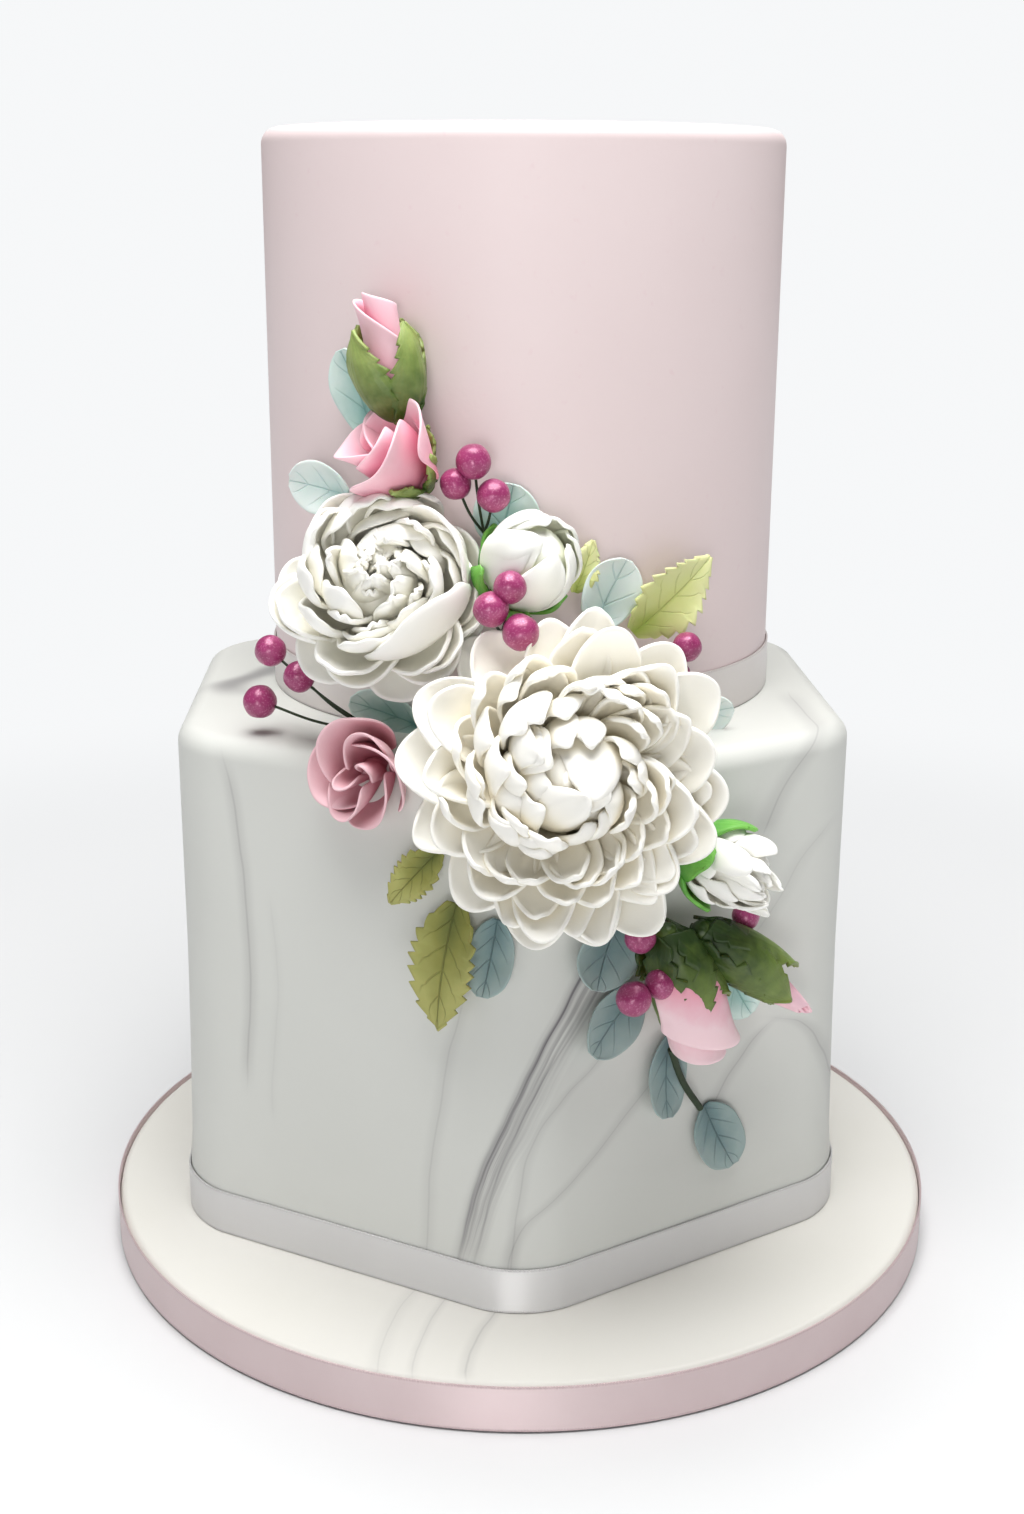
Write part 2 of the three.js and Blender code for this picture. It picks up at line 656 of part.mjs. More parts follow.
// Leaves, each tucked under a flower
const LEAVES = [
  { name: "blue_leaf_1", x: -43, z: 296, clear: 3, bearing: 112, lift: 4, long: 30, wide: 19, blue: true },
  { name: "blue_leaf_2", x: -50, z: 277, clear: 6, bearing: 172, lift: 6, long: 24, wide: 18, blue: true },
  { name: "blue_leaf_3", x: -4, z: 262, clear: 2, bearing: 78, lift: 3, long: 22, wide: 22, blue: true },
  { name: "blue_leaf_4", x: 26, z: 236, clear: 3, bearing: 66, lift: 4, long: 25, wide: 20, blue: true },
  { name: "blue_leaf_5", x: 50, z: 200, clear: 3, bearing: 20, lift: 30, long: 24, wide: 16, blue: true },
  { name: "blue_leaf_6", x: -30, z: 202, clear: 3, bearing: 165, lift: 6, long: 25, wide: 15, blue: true },
  { name: "blue_leaf_7", x: -3, z: 156, clear: 3, bearing: -100, lift: 2, long: 27, wide: 16, blue: true },
  { name: "blue_leaf_8", x: 33, z: 152, clear: 3, bearing: -112, lift: 3, long: 25, wide: 25, blue: true },
  { name: "blue_leaf_9", x: 41, z: 126, clear: 3, bearing: -138, lift: 4, long: 28, wide: 22, blue: true },
  { name: "blue_leaf_10", x: 51, z: 106, clear: 3, bearing: -92, lift: 3, long: 30, wide: 16, blue: true },
  { name: "blue_leaf_11", x: 65, z: 75, clear: 2, bearing: -62, lift: 4, long: 26, wide: 19, blue: true },
  { name: "blue_leaf_12", x: 72, z: 122, clear: 2, bearing: -60, lift: 2, long: 20, wide: 17, blue: true },
  {
    name: "lime_leaf_1", x: 38, z: 234, clear: 4, bearing: 42, lift: 4,
    long: 36, wide: 24, colour: LIME,
  },
  {
    name: "lime_leaf_2", x: 20, z: 248, clear: 2, bearing: 72, lift: 3,
    long: 18, wide: 11, colour: LIME,
  },
  {
    name: "olive_leaf_1", x: -20, z: 176, clear: 4, bearing: -130, lift: 6,
    long: 26, wide: 15, colour: OLIVE,
  },
  {
    name: "olive_leaf_2", x: -14, z: 160, clear: 5, bearing: -98, lift: 3,
    long: 44, wide: 25, colour: OLIVE,
  },
];
for (const { name, blue, colour, long, wide, ...spot } of LEAVES)
  place(
    name,
    blue ? eucalyptusLeaf({ long, wide }) : toothedLeaf({ long, wide }),
    blue ? EUCALYPTUS : colour,
    lyingAt(spot),
    0.7,
  );

export default stand;
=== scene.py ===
import math
import bmesh
import bpy
from mathutils import Matrix, Vector


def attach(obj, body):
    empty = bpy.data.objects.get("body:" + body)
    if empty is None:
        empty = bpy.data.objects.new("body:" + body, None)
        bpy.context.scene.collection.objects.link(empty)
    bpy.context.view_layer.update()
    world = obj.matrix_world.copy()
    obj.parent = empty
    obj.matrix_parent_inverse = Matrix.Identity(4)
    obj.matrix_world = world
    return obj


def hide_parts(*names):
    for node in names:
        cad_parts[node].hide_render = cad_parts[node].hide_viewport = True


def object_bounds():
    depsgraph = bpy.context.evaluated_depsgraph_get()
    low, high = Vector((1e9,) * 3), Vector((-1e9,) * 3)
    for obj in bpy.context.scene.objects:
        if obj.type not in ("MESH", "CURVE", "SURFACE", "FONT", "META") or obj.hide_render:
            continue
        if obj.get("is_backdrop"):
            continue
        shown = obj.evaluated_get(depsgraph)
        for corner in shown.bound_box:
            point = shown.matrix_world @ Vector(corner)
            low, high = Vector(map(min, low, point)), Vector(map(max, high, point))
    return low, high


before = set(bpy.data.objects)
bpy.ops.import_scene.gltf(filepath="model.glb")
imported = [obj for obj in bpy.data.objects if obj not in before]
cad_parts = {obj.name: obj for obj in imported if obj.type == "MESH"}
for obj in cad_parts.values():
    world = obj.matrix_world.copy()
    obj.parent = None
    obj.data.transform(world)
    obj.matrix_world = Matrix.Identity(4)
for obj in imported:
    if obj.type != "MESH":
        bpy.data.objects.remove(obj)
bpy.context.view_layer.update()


# Studio
# The cake stands on a pale seamless floor under a broad soft light from above, with a
# gentler one from the front. The camera looks down on it a little, at the front corner.
bpy.ops.object.camera_add(location=(0, -0.655, 0.37081))
camera = bpy.context.object
camera.name = "camera"
camera.rotation_mode = "QUATERNION"
CAMERA_TILT = math.radians(73.367)
CAMERA_PAN, CAMERA_ROLL = 0.0056, 0.0047
aim = Matrix.Rotation(CAMERA_PAN, 3, "Z") @ Matrix.Rotation(CAMERA_TILT, 3, "X")
camera.rotation_quaternion = (aim @ Matrix.Rotation(CAMERA_ROLL, 3, "Z")).to_quaternion()
camera.data.lens, camera.data.sensor_width = 44.66, 36
bpy.context.scene.camera = camera
bpy.context.scene.view_settings.view_transform = "Standard"


def soft_light(name, place, target, size, watts):
    bpy.ops.object.light_add(type="AREA", location=place)
    light = bpy.context.object
    light.name = name
    light.data.shape, light.data.size, light.data.energy = "DISK", size, watts
    way = Vector(target) - Vector(place)
    light.rotation_euler = way.to_track_quat("-Z", "Y").to_euler()


soft_light("overhead", (0.0, -0.15, 1.35), (0, 0, 0.2), 1.15, 28.5)
soft_light("front", (-0.2, -2.3, 0.35), (0, 0, 0.22), 0.7, 10.8)

BACKDROP = (0.955, 0.965, 0.975, 1)
BACKDROP_GLOW = 0.97
world = bpy.data.worlds.new("studio")
world.use_nodes = True
bpy.context.scene.world = world
sky = world.node_tree
ground = sky.nodes["Background"]
ground.inputs["Color"].default_value = (1, 0.995, 0.98, 1)
ground.inputs["Strength"].default_value = 0.1
seen = sky.nodes.new("ShaderNodeBackground")
seen.inputs["Color"].default_value = BACKDROP
seen.inputs["Strength"].default_value = BACKDROP_GLOW
ray = sky.nodes.new("ShaderNodeLightPath")
both = sky.nodes.new("ShaderNodeMixShader")
sky.links.new(ray.outputs["Is Camera Ray"], both.inputs["Fac"])
sky.links.new(ground.outputs["Background"], both.inputs[1])
sky.links.new(seen.outputs["Background"], both.inputs[2])
sky.links.new(both.outputs["Shader"], sky.nodes["World Output"].inputs["Surface"])

MM = 0.001


def put(finish, kind, settings=None, **inputs):
    """Adds a shader node. Its inputs take numbers or other sockets: `_0` is the first one,
    and a name's spaces are written as underscores."""
    tree = finish.node_tree
    made = tree.nodes.new("ShaderNode" + kind)
    for key, value in (settings or {}).items():
        setattr(made, key, value)
    for key, value in inputs.items():
        name = key.replace("_", " ")
        socket = made.inputs[int(name[1:])] if name[1:].isdigit() else made.inputs[name]
        if isinstance(value, bpy.types.NodeSocket):
            tree.links.new(value, socket)
        else:
            socket.default_value = value
    return made


def new_finish(name, roughness, **numbers):
    """A material whose plain numbers are set on its shader's own sockets."""
    finish = bpy.data.materials.new(name)
    finish.use_nodes = True
    shader = finish.node_tree.nodes["Principled BSDF"]
    shader.inputs["Roughness"].default_value = roughness
    for key, value in numbers.items():
        shader.inputs[key.replace("_", " ")].default_value = value
    return finish


def vector_node(finish, kind, first, **more):
    return put(finish, "VectorMath", {"operation": kind}, _0=first, **more).outputs


def between(finish, value, start, end, top=1.0, kind="SMOOTHSTEP"):
    """Goes from 0 at `start` to `top` at `end`, easing in and out unless it is LINEAR."""
    sockets = {"Value": value, "From_Min": start, "From_Max": end, "To_Max": top}
    return put(finish, "MapRange", {"interpolation_type": kind}, **sockets).outputs["Result"]


def own_place(finish):
    """The place on the piece itself, so that a pattern keeps to it."""
    return put(finish, "TexCoord").outputs["Object"]


def settle(name):
    """Names the object just added and moves its place and turn into its mesh."""
    piece = bpy.context.object
    piece.name = name
    bpy.ops.object.transform_apply(location=True, rotation=True, scale=True)
    return piece


floor_finish = new_finish("pale_floor", 0.9, Specular_IOR_Level=0.1)
away = vector_node(floor_finish, "LENGTH", own_place(floor_finish))["Value"]
fade = between(floor_finish, away, 0.22, 0.75)
plain = put(floor_finish, "Emission", Color=BACKDROP, Strength=BACKDROP_GLOW)
floor_mix = put(floor_finish, "MixShader", _0=fade)
floor_tree = floor_finish.node_tree
floor_shader = floor_tree.nodes["Principled BSDF"]
floor_shader.inputs["Base Color"].default_value = (0.71, 0.715, 0.72, 1)
floor_tree.links.new(floor_shader.outputs["BSDF"], floor_mix.inputs[1])
floor_tree.links.new(plain.outputs["Emission"], floor_mix.inputs[2])
surface = floor_tree.nodes["Material Output"].inputs["Surface"]
floor_tree.links.new(floor_mix.outputs["Shader"], surface)
UNDER_CAKE = (0, 0, -0.3 * MM)
bpy.ops.mesh.primitive_circle_add(vertices=96, radius=9, fill_type="NGON", location=UNDER_CAKE)
floor = settle("floor")
floor.data.materials.append(floor_finish)
floor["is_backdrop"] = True


# Board
# A 12 inch cake drum: thick pressed card wrapped in embossed silver foil. Its edge hides
# behind the ribbon, and only a sliver of foil shows under it.
BOARD_R = 151.8 * MM
DRUM_TOP = 12.5 * MM


def colour(code):
    """The linear colour of a six-figure code such as F4F3EE."""
    parts = [int(code[i : i + 2], 16) / 255 for i in (0, 2, 4)]
    linear = [p / 12.92 if p <= 0.04045 else ((p + 0.055) / 1.055) ** 2.4 for p in parts]
    return linear + [1]


def wire_up(finish, base=None, height=None, strength=0.3, distance=MM, rough=None):
    """Joins a colour, a height for the relief and a roughness to the shader."""
    tree = finish.node_tree
    shader = tree.nodes["Principled BSDF"]
    if base is not None:
        tree.links.new(base, shader.inputs["Base Color"])
    if height is not None:
        relief = put(finish, "Bump", Height=height, Strength=strength, Distance=distance)
        tree.links.new(relief.outputs["Normal"], shader.inputs["Normal"])
    if rough is not None:
        tree.links.new(rough, shader.inputs["Roughness"])


def blend_colour(finish, share, first, second):
    mixed = put(finish, "Mix", {"data_type": "RGBA"}, _0=share, _6=first, _7=second)
    return mixed.outputs[2]


def noise(finish, spot, scale, detail=2.0):
    return put(finish, "TexNoise", Vector=spot, Scale=scale, Detail=detail).outputs["Fac"]


def choose(piece, kind, test):
    """In edit mode, selects the vertices, edges or faces that pass the test."""
    bpy.context.tool_settings.mesh_select_mode = [kind == k for k in ("verts", "edges", "faces")]
    bpy.ops.mesh.select_all(action="DESELECT")
    mesh = bmesh.from_edit_mesh(piece.data)
    for part in getattr(mesh, kind):
        if test(part):
            part.select_set(True)
    mesh.select_flush_mode()
    bmesh.update_edit_mesh(piece.data)


def drum(name, radius, low, high, edge, segments, sides=160):
    """A cylinder with the rim of its top rounded, its place already in its mesh."""
    middle = (0, 0, (low + high) / 2)
    bpy.ops.mesh.primitive_cylinder_add(
        vertices=sides, radius=radius, depth=high - low, location=middle
    )
    piece = settle(name)
    bpy.ops.object.mode_set(mode="EDIT")
    choose(piece, "edges", lambda edge: min(v.co.z for v in edge.verts) > high - 1e-5)
    bpy.ops.mesh.bevel(offset=edge, segments=segments, affect="EDGES")
    bpy.ops.object.mode_set(mode="OBJECT")
    bpy.ops.object.shade_smooth_by_angle(angle=SHARP_FROM)
    return piece


SHARP_FROM = math.radians(35)


def set_down(piece, node, slot, finish):
    """Gives a piece its finish and puts it in the place of its solid."""
    piece.data.materials.clear()
    piece.data.materials.append(finish)
    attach(piece, "root")
    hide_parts(node)


foil = new_finish("silver_foil", 0.3, Metallic=0.85)
spot = own_place(foil)
emboss = put(foil, "TexVoronoi", {"feature": "DISTANCE_TO_EDGE"}, Vector=spot, Scale=420.0)
foil_tint = blend_colour(foil, noise(foil, spot, 60.0), colour("C9CBCE"), colour("AEB1B6"))
wire_up(foil, foil_tint, emboss.outputs["Distance"], 0.5, 0.4 * MM)
board = drum("card_drum", BOARD_R, 0, DRUM_TOP, 0.6 * MM, 2)
set_down(board, "board", "foil_board", foil)


# Sugarpaste over the board
# White sugarpaste rolled thin, laid over the damp board and trimmed at its edge, which is
# rounded by hand. A little grey was kneaded in, so a few veins run out from the cake.
BOARD_TOP = 16.4 * MM


def math_node(finish, kind, first, second=0.0, third=0.0, clamp=False):
    settings = {"operation": kind, "use_clamp": clamp}
    return put(finish, "Math", settings, _0=first, _1=second, _2=third).outputs[0]


def times(finish, first, second, clamp=False):
    return math_node(finish, "MULTIPLY", first, second, clamp=clamp)


def minus(finish, first, second, clamp=False):
    return math_node(finish, "SUBTRACT", first, second, clamp=clamp)


def beside(finish, across, along, points):
    """How far a place lies to one side of a line through points (along, across), in mm, and
    its share of the way along that line."""
    first, last = points[0][0], points[-1][0]
    left = min(p[1] for p in points) - 10
    wide = max(p[1] for p in points) + 10 - left
    run = between(finish, along, first * MM, last * MM, kind="LINEAR")
    path = put(finish, "FloatCurve", Value=run)
    curve = path.mapping.curves[0]
    places = [((a - first) / (last - first), (c - left) / wide) for a, c in points]
    curve.points[0].location = places[0]
    curve.points[1].location = places[-1]
    for place in places[1:-1]:
        curve.points.new(*place)
    path.mapping.update()
    line = math_node(finish, "MULTIPLY_ADD", path.outputs["Value"], wide * MM, left * MM)
    return minus(finish, across, line), run


def vein(finish, across, along, points, width, soft, dark):
    """A vein's darkness, up to `dark`: a fine line in a soft halo, both breadths in mm. It
    fades out at both ends."""
    aside, run = beside(finish, across, along, points)
    off = math_node(finish, "ABSOLUTE", aside)
    core = between(finish, off, width * MM, 0, 0.5)
    both = math_node(finish, "ADD", core, between(finish, off, soft * MM, 0, 0.5))
    ends = times(finish, between(finish, run, 0, 0.15), between(finish, run, 1, 0.85))
    return times(finish, times(finish, both, ends), dark)


def smoke(finish, across, along, points, left, right):
    """A band of fine streaks along a vein. It reaches `left` and `right` of it, in mm, at its
    far end, and a quarter of that at its near end."""
    aside, run = beside(finish, across, along, points)
    widening = math_node(finish, "MULTIPLY_ADD", run, 0.75, 0.25)
    share = math_node(finish, "DIVIDE", aside, widening)
    left_side = between(finish, share, -left * MM, 0)
    band = times(finish, left_side, between(finish, share, right * MM, 0))
    fine = put(finish, "CombineXYZ", X=times(finish, share, 420), Y=times(finish, run, 2.2))
    streaks = noise(finish, fine.outputs["Vector"], 1.0, 4.0)
    streaked = times(finish, band, between(finish, streaks, 0.3, 0.72))
    return times(finish, streaked, between(finish, run, 0, 0.25))


def wandering(finish, spot, scale, amount):
    """Object coordinates pushed about by soft noise, for lines that aren't ruled."""
    cloudy = put(finish, "TexNoise", Vector=spot, Scale=scale, Detail=3.0).outputs["Color"]
    centred = vector_node(finish, "SUBTRACT", cloudy, _1=(0.5, 0.5, 0.5))[0]
    push = vector_node(finish, "SCALE", centred, Scale=amount)[0]
    return vector_node(finish, "ADD", spot, _1=push)[0]


def sum_of(finish, shares):
    total = shares[0]
    for share in shares[1:]:
        total = math_node(finish, "ADD", total, share)
    return total


def paste_relief(finish, spot):
    """The faint orange peel and hand marks on smoothed paste."""
    fine = times(finish, noise(finish, spot, 700.0, 3.0), 0.12)
    return math_node(finish, "ADD", fine, noise(finish, spot, 22.0))


board_paste = new_finish("board_sugarpaste", 0.55, Specular_IOR_Level=0.35)
spot = own_place(board_paste)
bent = put(board_paste, "SeparateXYZ", Vector=wandering(board_paste, spot, 30.0, 4 * MM))
BOARD_VEINS = [
    ([(-150, -44), (-135, -44.5), (-122, -43), (-100, -36), (-88, -29)], 0.5, 5, 0.6),
    ([(-150, -33), (-138, -33), (-125, -31), (-104, -25), (-90, -18)], 0.5, 3, 0.7),
    ([(-151, -16), (-140, -16), (-127, -13.5), (-111, -7), (-96, -2)], 0.6, 4, 1.0),
    ([(40, 118), (70, 105), (95, 92), (115, 70), (125, 50)], 0.5, 5, 0.6),
    ([(60, -112), (84, -98), (102, -80), (118, -52)], 0.5, 5, 0.6),
]
lines = [vein(board_paste, bent.outputs["X"], bent.outputs["Y"], *row) for row in BOARD_VEINS]
veined = times(board_paste, sum_of(board_paste, lines), 0.42, True)
cloud = noise(board_paste, spot, 14.0, 4.0)
paste_white = blend_colour(board_paste, cloud, colour("E3E1DC"), colour("DBD9D1"))
paste_tint = blend_colour(board_paste, veined, paste_white, colour("8E8D8C"))
wire_up(board_paste, paste_tint, paste_relief(board_paste, spot), 0.2, 0.8 * MM)
iced_board = drum("board_cover", BOARD_R, DRUM_TOP + 0.3 * MM, BOARD_TOP, 3 * MM, 7)
set_down(iced_board, "board_icing", "white_sugarpaste", board_paste)


# Ribbon round the board
# Pink double-faced satin, 16 mm wide, with a fine picot edge. It is stuck round the drum
# with glue, and its end laps over its start at the back.
RIBBON_WIDE = 16 * MM
RIBBON_THICK = 0.6 * MM


def thicken(piece, thick, offset):
    wall = piece.modifiers.new("wall", "SOLIDIFY")
    wall.thickness, wall.offset = thick, offset
    bpy.ops.object.modifier_apply(modifier="wall")


def lap_end(piece, y_from, half_wide):
    """Raises the outside of the ribbon a little where its end laps over, at the back."""

    def lapped(face):
        middle = face.calc_center_median()
        return middle.y > y_from and abs(middle.x) < half_wide and face.normal.y > 0.5

    bpy.ops.object.mode_set(mode="EDIT")
    choose(piece, "faces", lapped)
    bpy.ops.mesh.extrude_region_shrink_fatten(TRANSFORM_OT_shrink_fatten={"value": -0.35 * MM})
    bpy.ops.object.mode_set(mode="OBJECT")


def ribbon_length(piece, centre, low):
    """Writes a UV map in metres: the way round from the back, and the height."""
    layer = piece.data.uv_layers.get("UVMap") or piece.data.uv_layers.new(name="UVMap")
    for face in piece.data.polygons:
        turn = math.atan2(face.center.x - centre[0], -(face.center.y - centre[1]))
        for loop in face.loop_indices:
            point = piece.data.vertices[piece.data.loops[loop].vertex_index].co
            own = math.atan2(point.x - centre[0], -(point.y - centre[1]))
            own -= round((own - turn) / (2 * math.pi)) * 2 * math.pi
            reach = math.hypot(point.x - centre[0], point.y - centre[1])
            layer.data[loop].uv = (own * reach, point.z - low)


def round_ribbon(name, radius, low, centre=(0, 0), sides=160):
    middle = (centre[0], centre[1], low + RIBBON_WIDE / 2)
    bpy.ops.mesh.primitive_cylinder_add(
        vertices=sides, radius=radius, depth=RIBBON_WIDE, end_fill_type="NOTHING", location=middle
    )
    return finish_ribbon(settle(name), centre, low, radius)


def finish_ribbon(piece, centre, low, radius):
    """Cuts a band into strips along its length, thickens it, laps its end, maps it and smooths its
    shading.
    """
    bpy.ops.object.mode_set(mode="EDIT")
    for share in (0.05, 0.5, 0.95):
        bpy.ops.mesh.select_all(action="SELECT")
        bpy.ops.mesh.bisect(plane_co=(0, 0, low + share * RIBBON_WIDE), plane_no=(0, 0, 1))
    bpy.ops.object.mode_set(mode="OBJECT")
    thicken(piece, RIBBON_THICK, 1)
    lap_end(piece, centre[1] + 0.6 * radius, 9 * MM)
    ribbon_length(piece, centre, low)
    bpy.ops.object.shade_smooth_by_angle(angle=SHARP_FROM)
    return piece


WEFT_PITCH = 0.22 * MM
STITCH_PITCH = 0.9 * MM


def own_map(finish):
    """The two directions of the piece's own UV map."""
    flat = put(finish, "SeparateXYZ", Vector=put(finish, "UVMap").outputs["UV"])
    return flat.outputs["X"], flat.outputs["Y"]


def apart(finish, first, second):
    return math_node(finish, "ABSOLUTE", minus(finish, first, second))


def satin(name, face, shade, thread):
    """Woven satin: silky along the weft, with a stitched line at each edge."""
    finish = new_finish(
        name, 0.5, Metallic=0.42, Sheen_Weight=0.15, Anisotropic=0.9, Anisotropic_Rotation=0.25
    )
    round_way, height = own_map(finish)
    full_turn = 2 * math.pi
    weft = math_node(finish, "SINE", times(finish, height, full_turn / WEFT_PITCH))
    stitch = math_node(finish, "SINE", times(finish, round_way, full_turn / STITCH_PITCH))
    from_middle = apart(finish, height, RIBBON_WIDE / 2)
    picot = times(finish, between(finish, from_middle, 7.1 * MM, 7.5 * MM, kind="LINEAR"), stitch)
    slub = noise(finish, own_place(finish), 35.0, 4.0)
    tint = blend_colour(finish, slub, colour(face), colour(shade))
    dotted = times(finish, math_node(finish, "ABSOLUTE", picot), 0.6)
    tint = blend_colour(finish, dotted, tint, colour(thread))
    raised = [times(finish, weft, 0.08), times(finish, slub, 1.2), times(finish, picot, 0.9)]
    wire_up(finish, tint, sum_of(finish, raised), 0.35, 0.35 * MM)
    return finish


pink_satin = satin("pink_satin", "EBD9DA", "E0CBCC", "C9ADB0")
board_band = round_ribbon("board_satin", BOARD_R + 0.3 * MM, 0.5 * MM)
set_down(board_band, "board_ribbon", "pink_satin", pink_satin)


# Lower tier
# A six-sided cake under white sugarpaste with grey marbled into it. The paste is smoothed
# down over soft corners, flares a little at the foot and stands with a corner in front.
HEX_X, HEX_Y = -5.2 * MM, 19.2 * MM
HEX_R, HEX_ROUND = 133.4 * MM, 30 * MM
HEX_TOP = 199 * MM
HEX_TURN = math.radians(3)
HEX_LOW = BOARD_TOP + 0.3 * MM


def hexagon(name, radius, corner_round, low, high, caps):
    """A six-sided prism with a corner in front and its upright corners rounded."""
    bpy.ops.mesh.primitive_cylinder_add(
        vertices=6,
        radius=radius,
        depth=high - low,
        end_fill_type="NGON" if caps else "NOTHING",
        location=(HEX_X, HEX_Y, (low + high) / 2),
        rotation=(0, 0, HEX_TURN),
    )
    piece = settle(name)
    bpy.ops.object.mode_set(mode="EDIT")
    choose(piece, "edges", lambda edge: abs(edge.verts[0].co.z - edge.verts[1].co.z) > 1 * MM)
    offset = corner_round * math.tan(math.radians(30))
    bpy.ops.mesh.bevel(offset=offset, segments=14, affect="EDGES")
    bpy.ops.object.mode_set(mode="OBJECT")
    return piece


marble = new_finish("marbled_sugarpaste", 0.5, Specular_IOR_Level=0.4)
spot = own_place(marble)
bent = put(marble, "SeparateXYZ", Vector=wandering(marble, spot, 13.0, 9 * MM))
from_side, height = bent.outputs["X"], bent.outputs["Z"]
depth = put(marble, "SeparateXYZ", Vector=spot).outputs["Y"]
MAIN_VEIN = [(20, -22), (37, -19.5), (55, -15.5), (70, -11), (89, -3)]
MAIN_VEIN += [(109, 7), (125, 16), (145, 26), (165, 34)]
SECOND_VEIN = [(20, -17), (40, -14), (64, -8), (83, -1)]
SECOND_VEIN += [(100, 8), (113, 17), (132, 28), (150, 36)]
FRONT_VEINS = [
    (MAIN_VEIN, 1.0, 4, 0.85),
    (SECOND_VEIN, 0.6, 4, 0.6),
    ([(20, -3), (45, -2), (58, 0), (78, 4), (92, 14), (102, 26), (120, 38)], 0.5, 4, 0.45),
    ([(25, -4), (45, 0), (57, 13), (72, 30), (89, 45), (100, 56)], 0.5, 5, 0.5),
    ([(20, -33), (39, -31), (69, -29), (92, -26), (110, -22.5), (135, -15)], 0.5, 4, 0.4),
    ([(70, -95), (92, -94.3), (126, -92), (155, -93), (179, -96), (198, -99)], 0.6, 4, 0.6),
    ([(60, -84), (90, -85), (120, -82), (150, -84)], 0.6, 3, 0.15),
    ([(40, 118), (68, 112), (83, 106), (94, 98), (99, 88), (103, 78)], 0.6, 5, 0.6),
    ([(60, 62), (76, 68), (87, 74), (96, 81), (101, 90)], 0.6, 5, 0.6),
    ([(165, 80), (187, 89), (199, 98), (212, 107)], 0.6, 7, 0.6),
    ([(120, 70), (140, 84), (160, 98), (170, 110)], 0.6, 6, 0.3),
]
lines = [vein(marble, from_side, height, *row) for row in FRONT_VEINS]
lines.append(smoke(marble, from_side, height, MAIN_VEIN, 5, 24))
near = between(marble, depth, 10 * MM, -10 * MM)
front_veins = times(marble, sum_of(marble, lines), near)
swirl = wandering(marble, spot, 7.0, 90 * MM)
kneaded = put(marble, "TexNoise", Vector=swirl, Scale=5.0, Detail=2.0, Roughness=0.4)
ridge = apart(marble, kneaded.outputs["Fac"], 0.5)
streak = between(marble, ridge, 0.018, 0, kind="SMOOTHERSTEP")
back_veins = times(marble, streak, minus(marble, 1.0, near))
veined = times(marble, math_node(marble, "ADD", front_veins, back_veins), 0.62, True)
cloud = noise(marble, swirl, 9.0, 5.0)
marble_white = blend_colour(marble, cloud, colour("DADBD6"), colour("CDCEC9"))
marble_tint = blend_colour(marble, veined, marble_white, colour("6E6A6E"))
wire_up(marble, marble_tint, paste_relief(marble, spot), 0.2, 0.9 * MM)

lower = hexagon("marbled_tier", HEX_R, HEX_ROUND, HEX_LOW, HEX_TOP, True)
bpy.ops.object.mode_set(mode="EDIT")
choose(lower, "edges", lambda edge: min(v.co.z for v in edge.verts) > HEX_TOP - 1e-5)
bpy.ops.mesh.bevel(offset=7 * MM, segments=8, affect="EDGES")
for rise in (16.5, 28, 45, 70, 100):
    bpy.ops.mesh.select_all(action="SELECT")
    bpy.ops.mesh.bisect(plane_co=(0, 0, HEX_LOW + rise * MM), plane_no=(0, 0, 1))
FLARE = {0: 1.0195, 16.5: 1.0193, 28: 1.0123, 45: 1.0088, 70: 1.004}
for rise, grown in FLARE.items():
    level = HEX_LOW + rise * MM
    choose(lower, "verts", lambda point: abs(point.co.z - level) < 0.1 * MM)
    bpy.ops.transform.resize(value=(grown, grown, 1), center_override=(HEX_X, HEX_Y, level))
bpy.ops.object.mode_set(mode="OBJECT")
bpy.ops.object.shade_smooth_by_angle(angle=SHARP_FROM)
set_down(lower, "lower_tier", "marbled_sugarpaste", marble)


# Ribbon round the lower tier
# Silver-grey double-faced satin of the same width, wrapped round the foot of the six sides
# and lapped at the back.
grey_satin = satin("grey_satin", "F0EFEF", "E7E6E6", "CDCBCC")
RIBBON_GAP = 0.3 * MM
inner = 136 * MM + RIBBON_GAP / math.cos(math.radians(30))
band = hexagon("lower_satin", inner, HEX_ROUND + RIBBON_GAP, HEX_LOW, HEX_LOW + RIBBON_WIDE, False)
finish_ribbon(band, (HEX_X, HEX_Y), HEX_LOW, inner)
set_down(band, "lower_ribbon", "grey_satin", grey_satin)


# Upper tier
# A tall round cake, 7 inches across, under blush sugarpaste polished by hand until its top
# edge is crisp. It stands on the lower tier, towards the back.
TIER_X, TIER_Y = -0.8 * MM, 34.5 * MM
TIER_R = 91 * MM
TIER_LOW, TIER_TOP = HEX_TOP + 0.3 * MM, 393 * MM
blush = new_finish("blush_sugarpaste", 0.46, Specular_IOR_Level=0.4)
spot = own_place(blush)
cloud = noise(blush, spot, 11.0, 5.0)
grain = noise(blush, spot, 260.0, 3.0)
soft_pink = blend_colour(blush, cloud, colour("E5D6D6"), colour("DCCACA"))
dusted = times(blush, between(blush, grain, 0.66, 0.8, kind="LINEAR"), 0.25)
blush_tint = blend_colour(blush, dusted, soft_pink, colour("D9B8BF"))
ROUGH_SPOT = (-0.0203, -0.0544, 0.309)
ragged = wandering(blush, spot, 60.0, 14 * MM)
away = vector_node(blush, "DISTANCE", ragged, _1=ROUGH_SPOT)["Value"]
nick = between(blush, away, 11 * MM, 3 * MM)
marks = times(blush, times(blush, nick, grain), 0.5)
relief = math_node(blush, "ADD", paste_relief(blush, spot), marks)
wire_up(blush, blush_tint, relief, 0.2, 0.9 * MM)
upper = drum("blush_tier", TIER_R, TIER_LOW, TIER_TOP, 5.5 * MM, 8, sides=192)
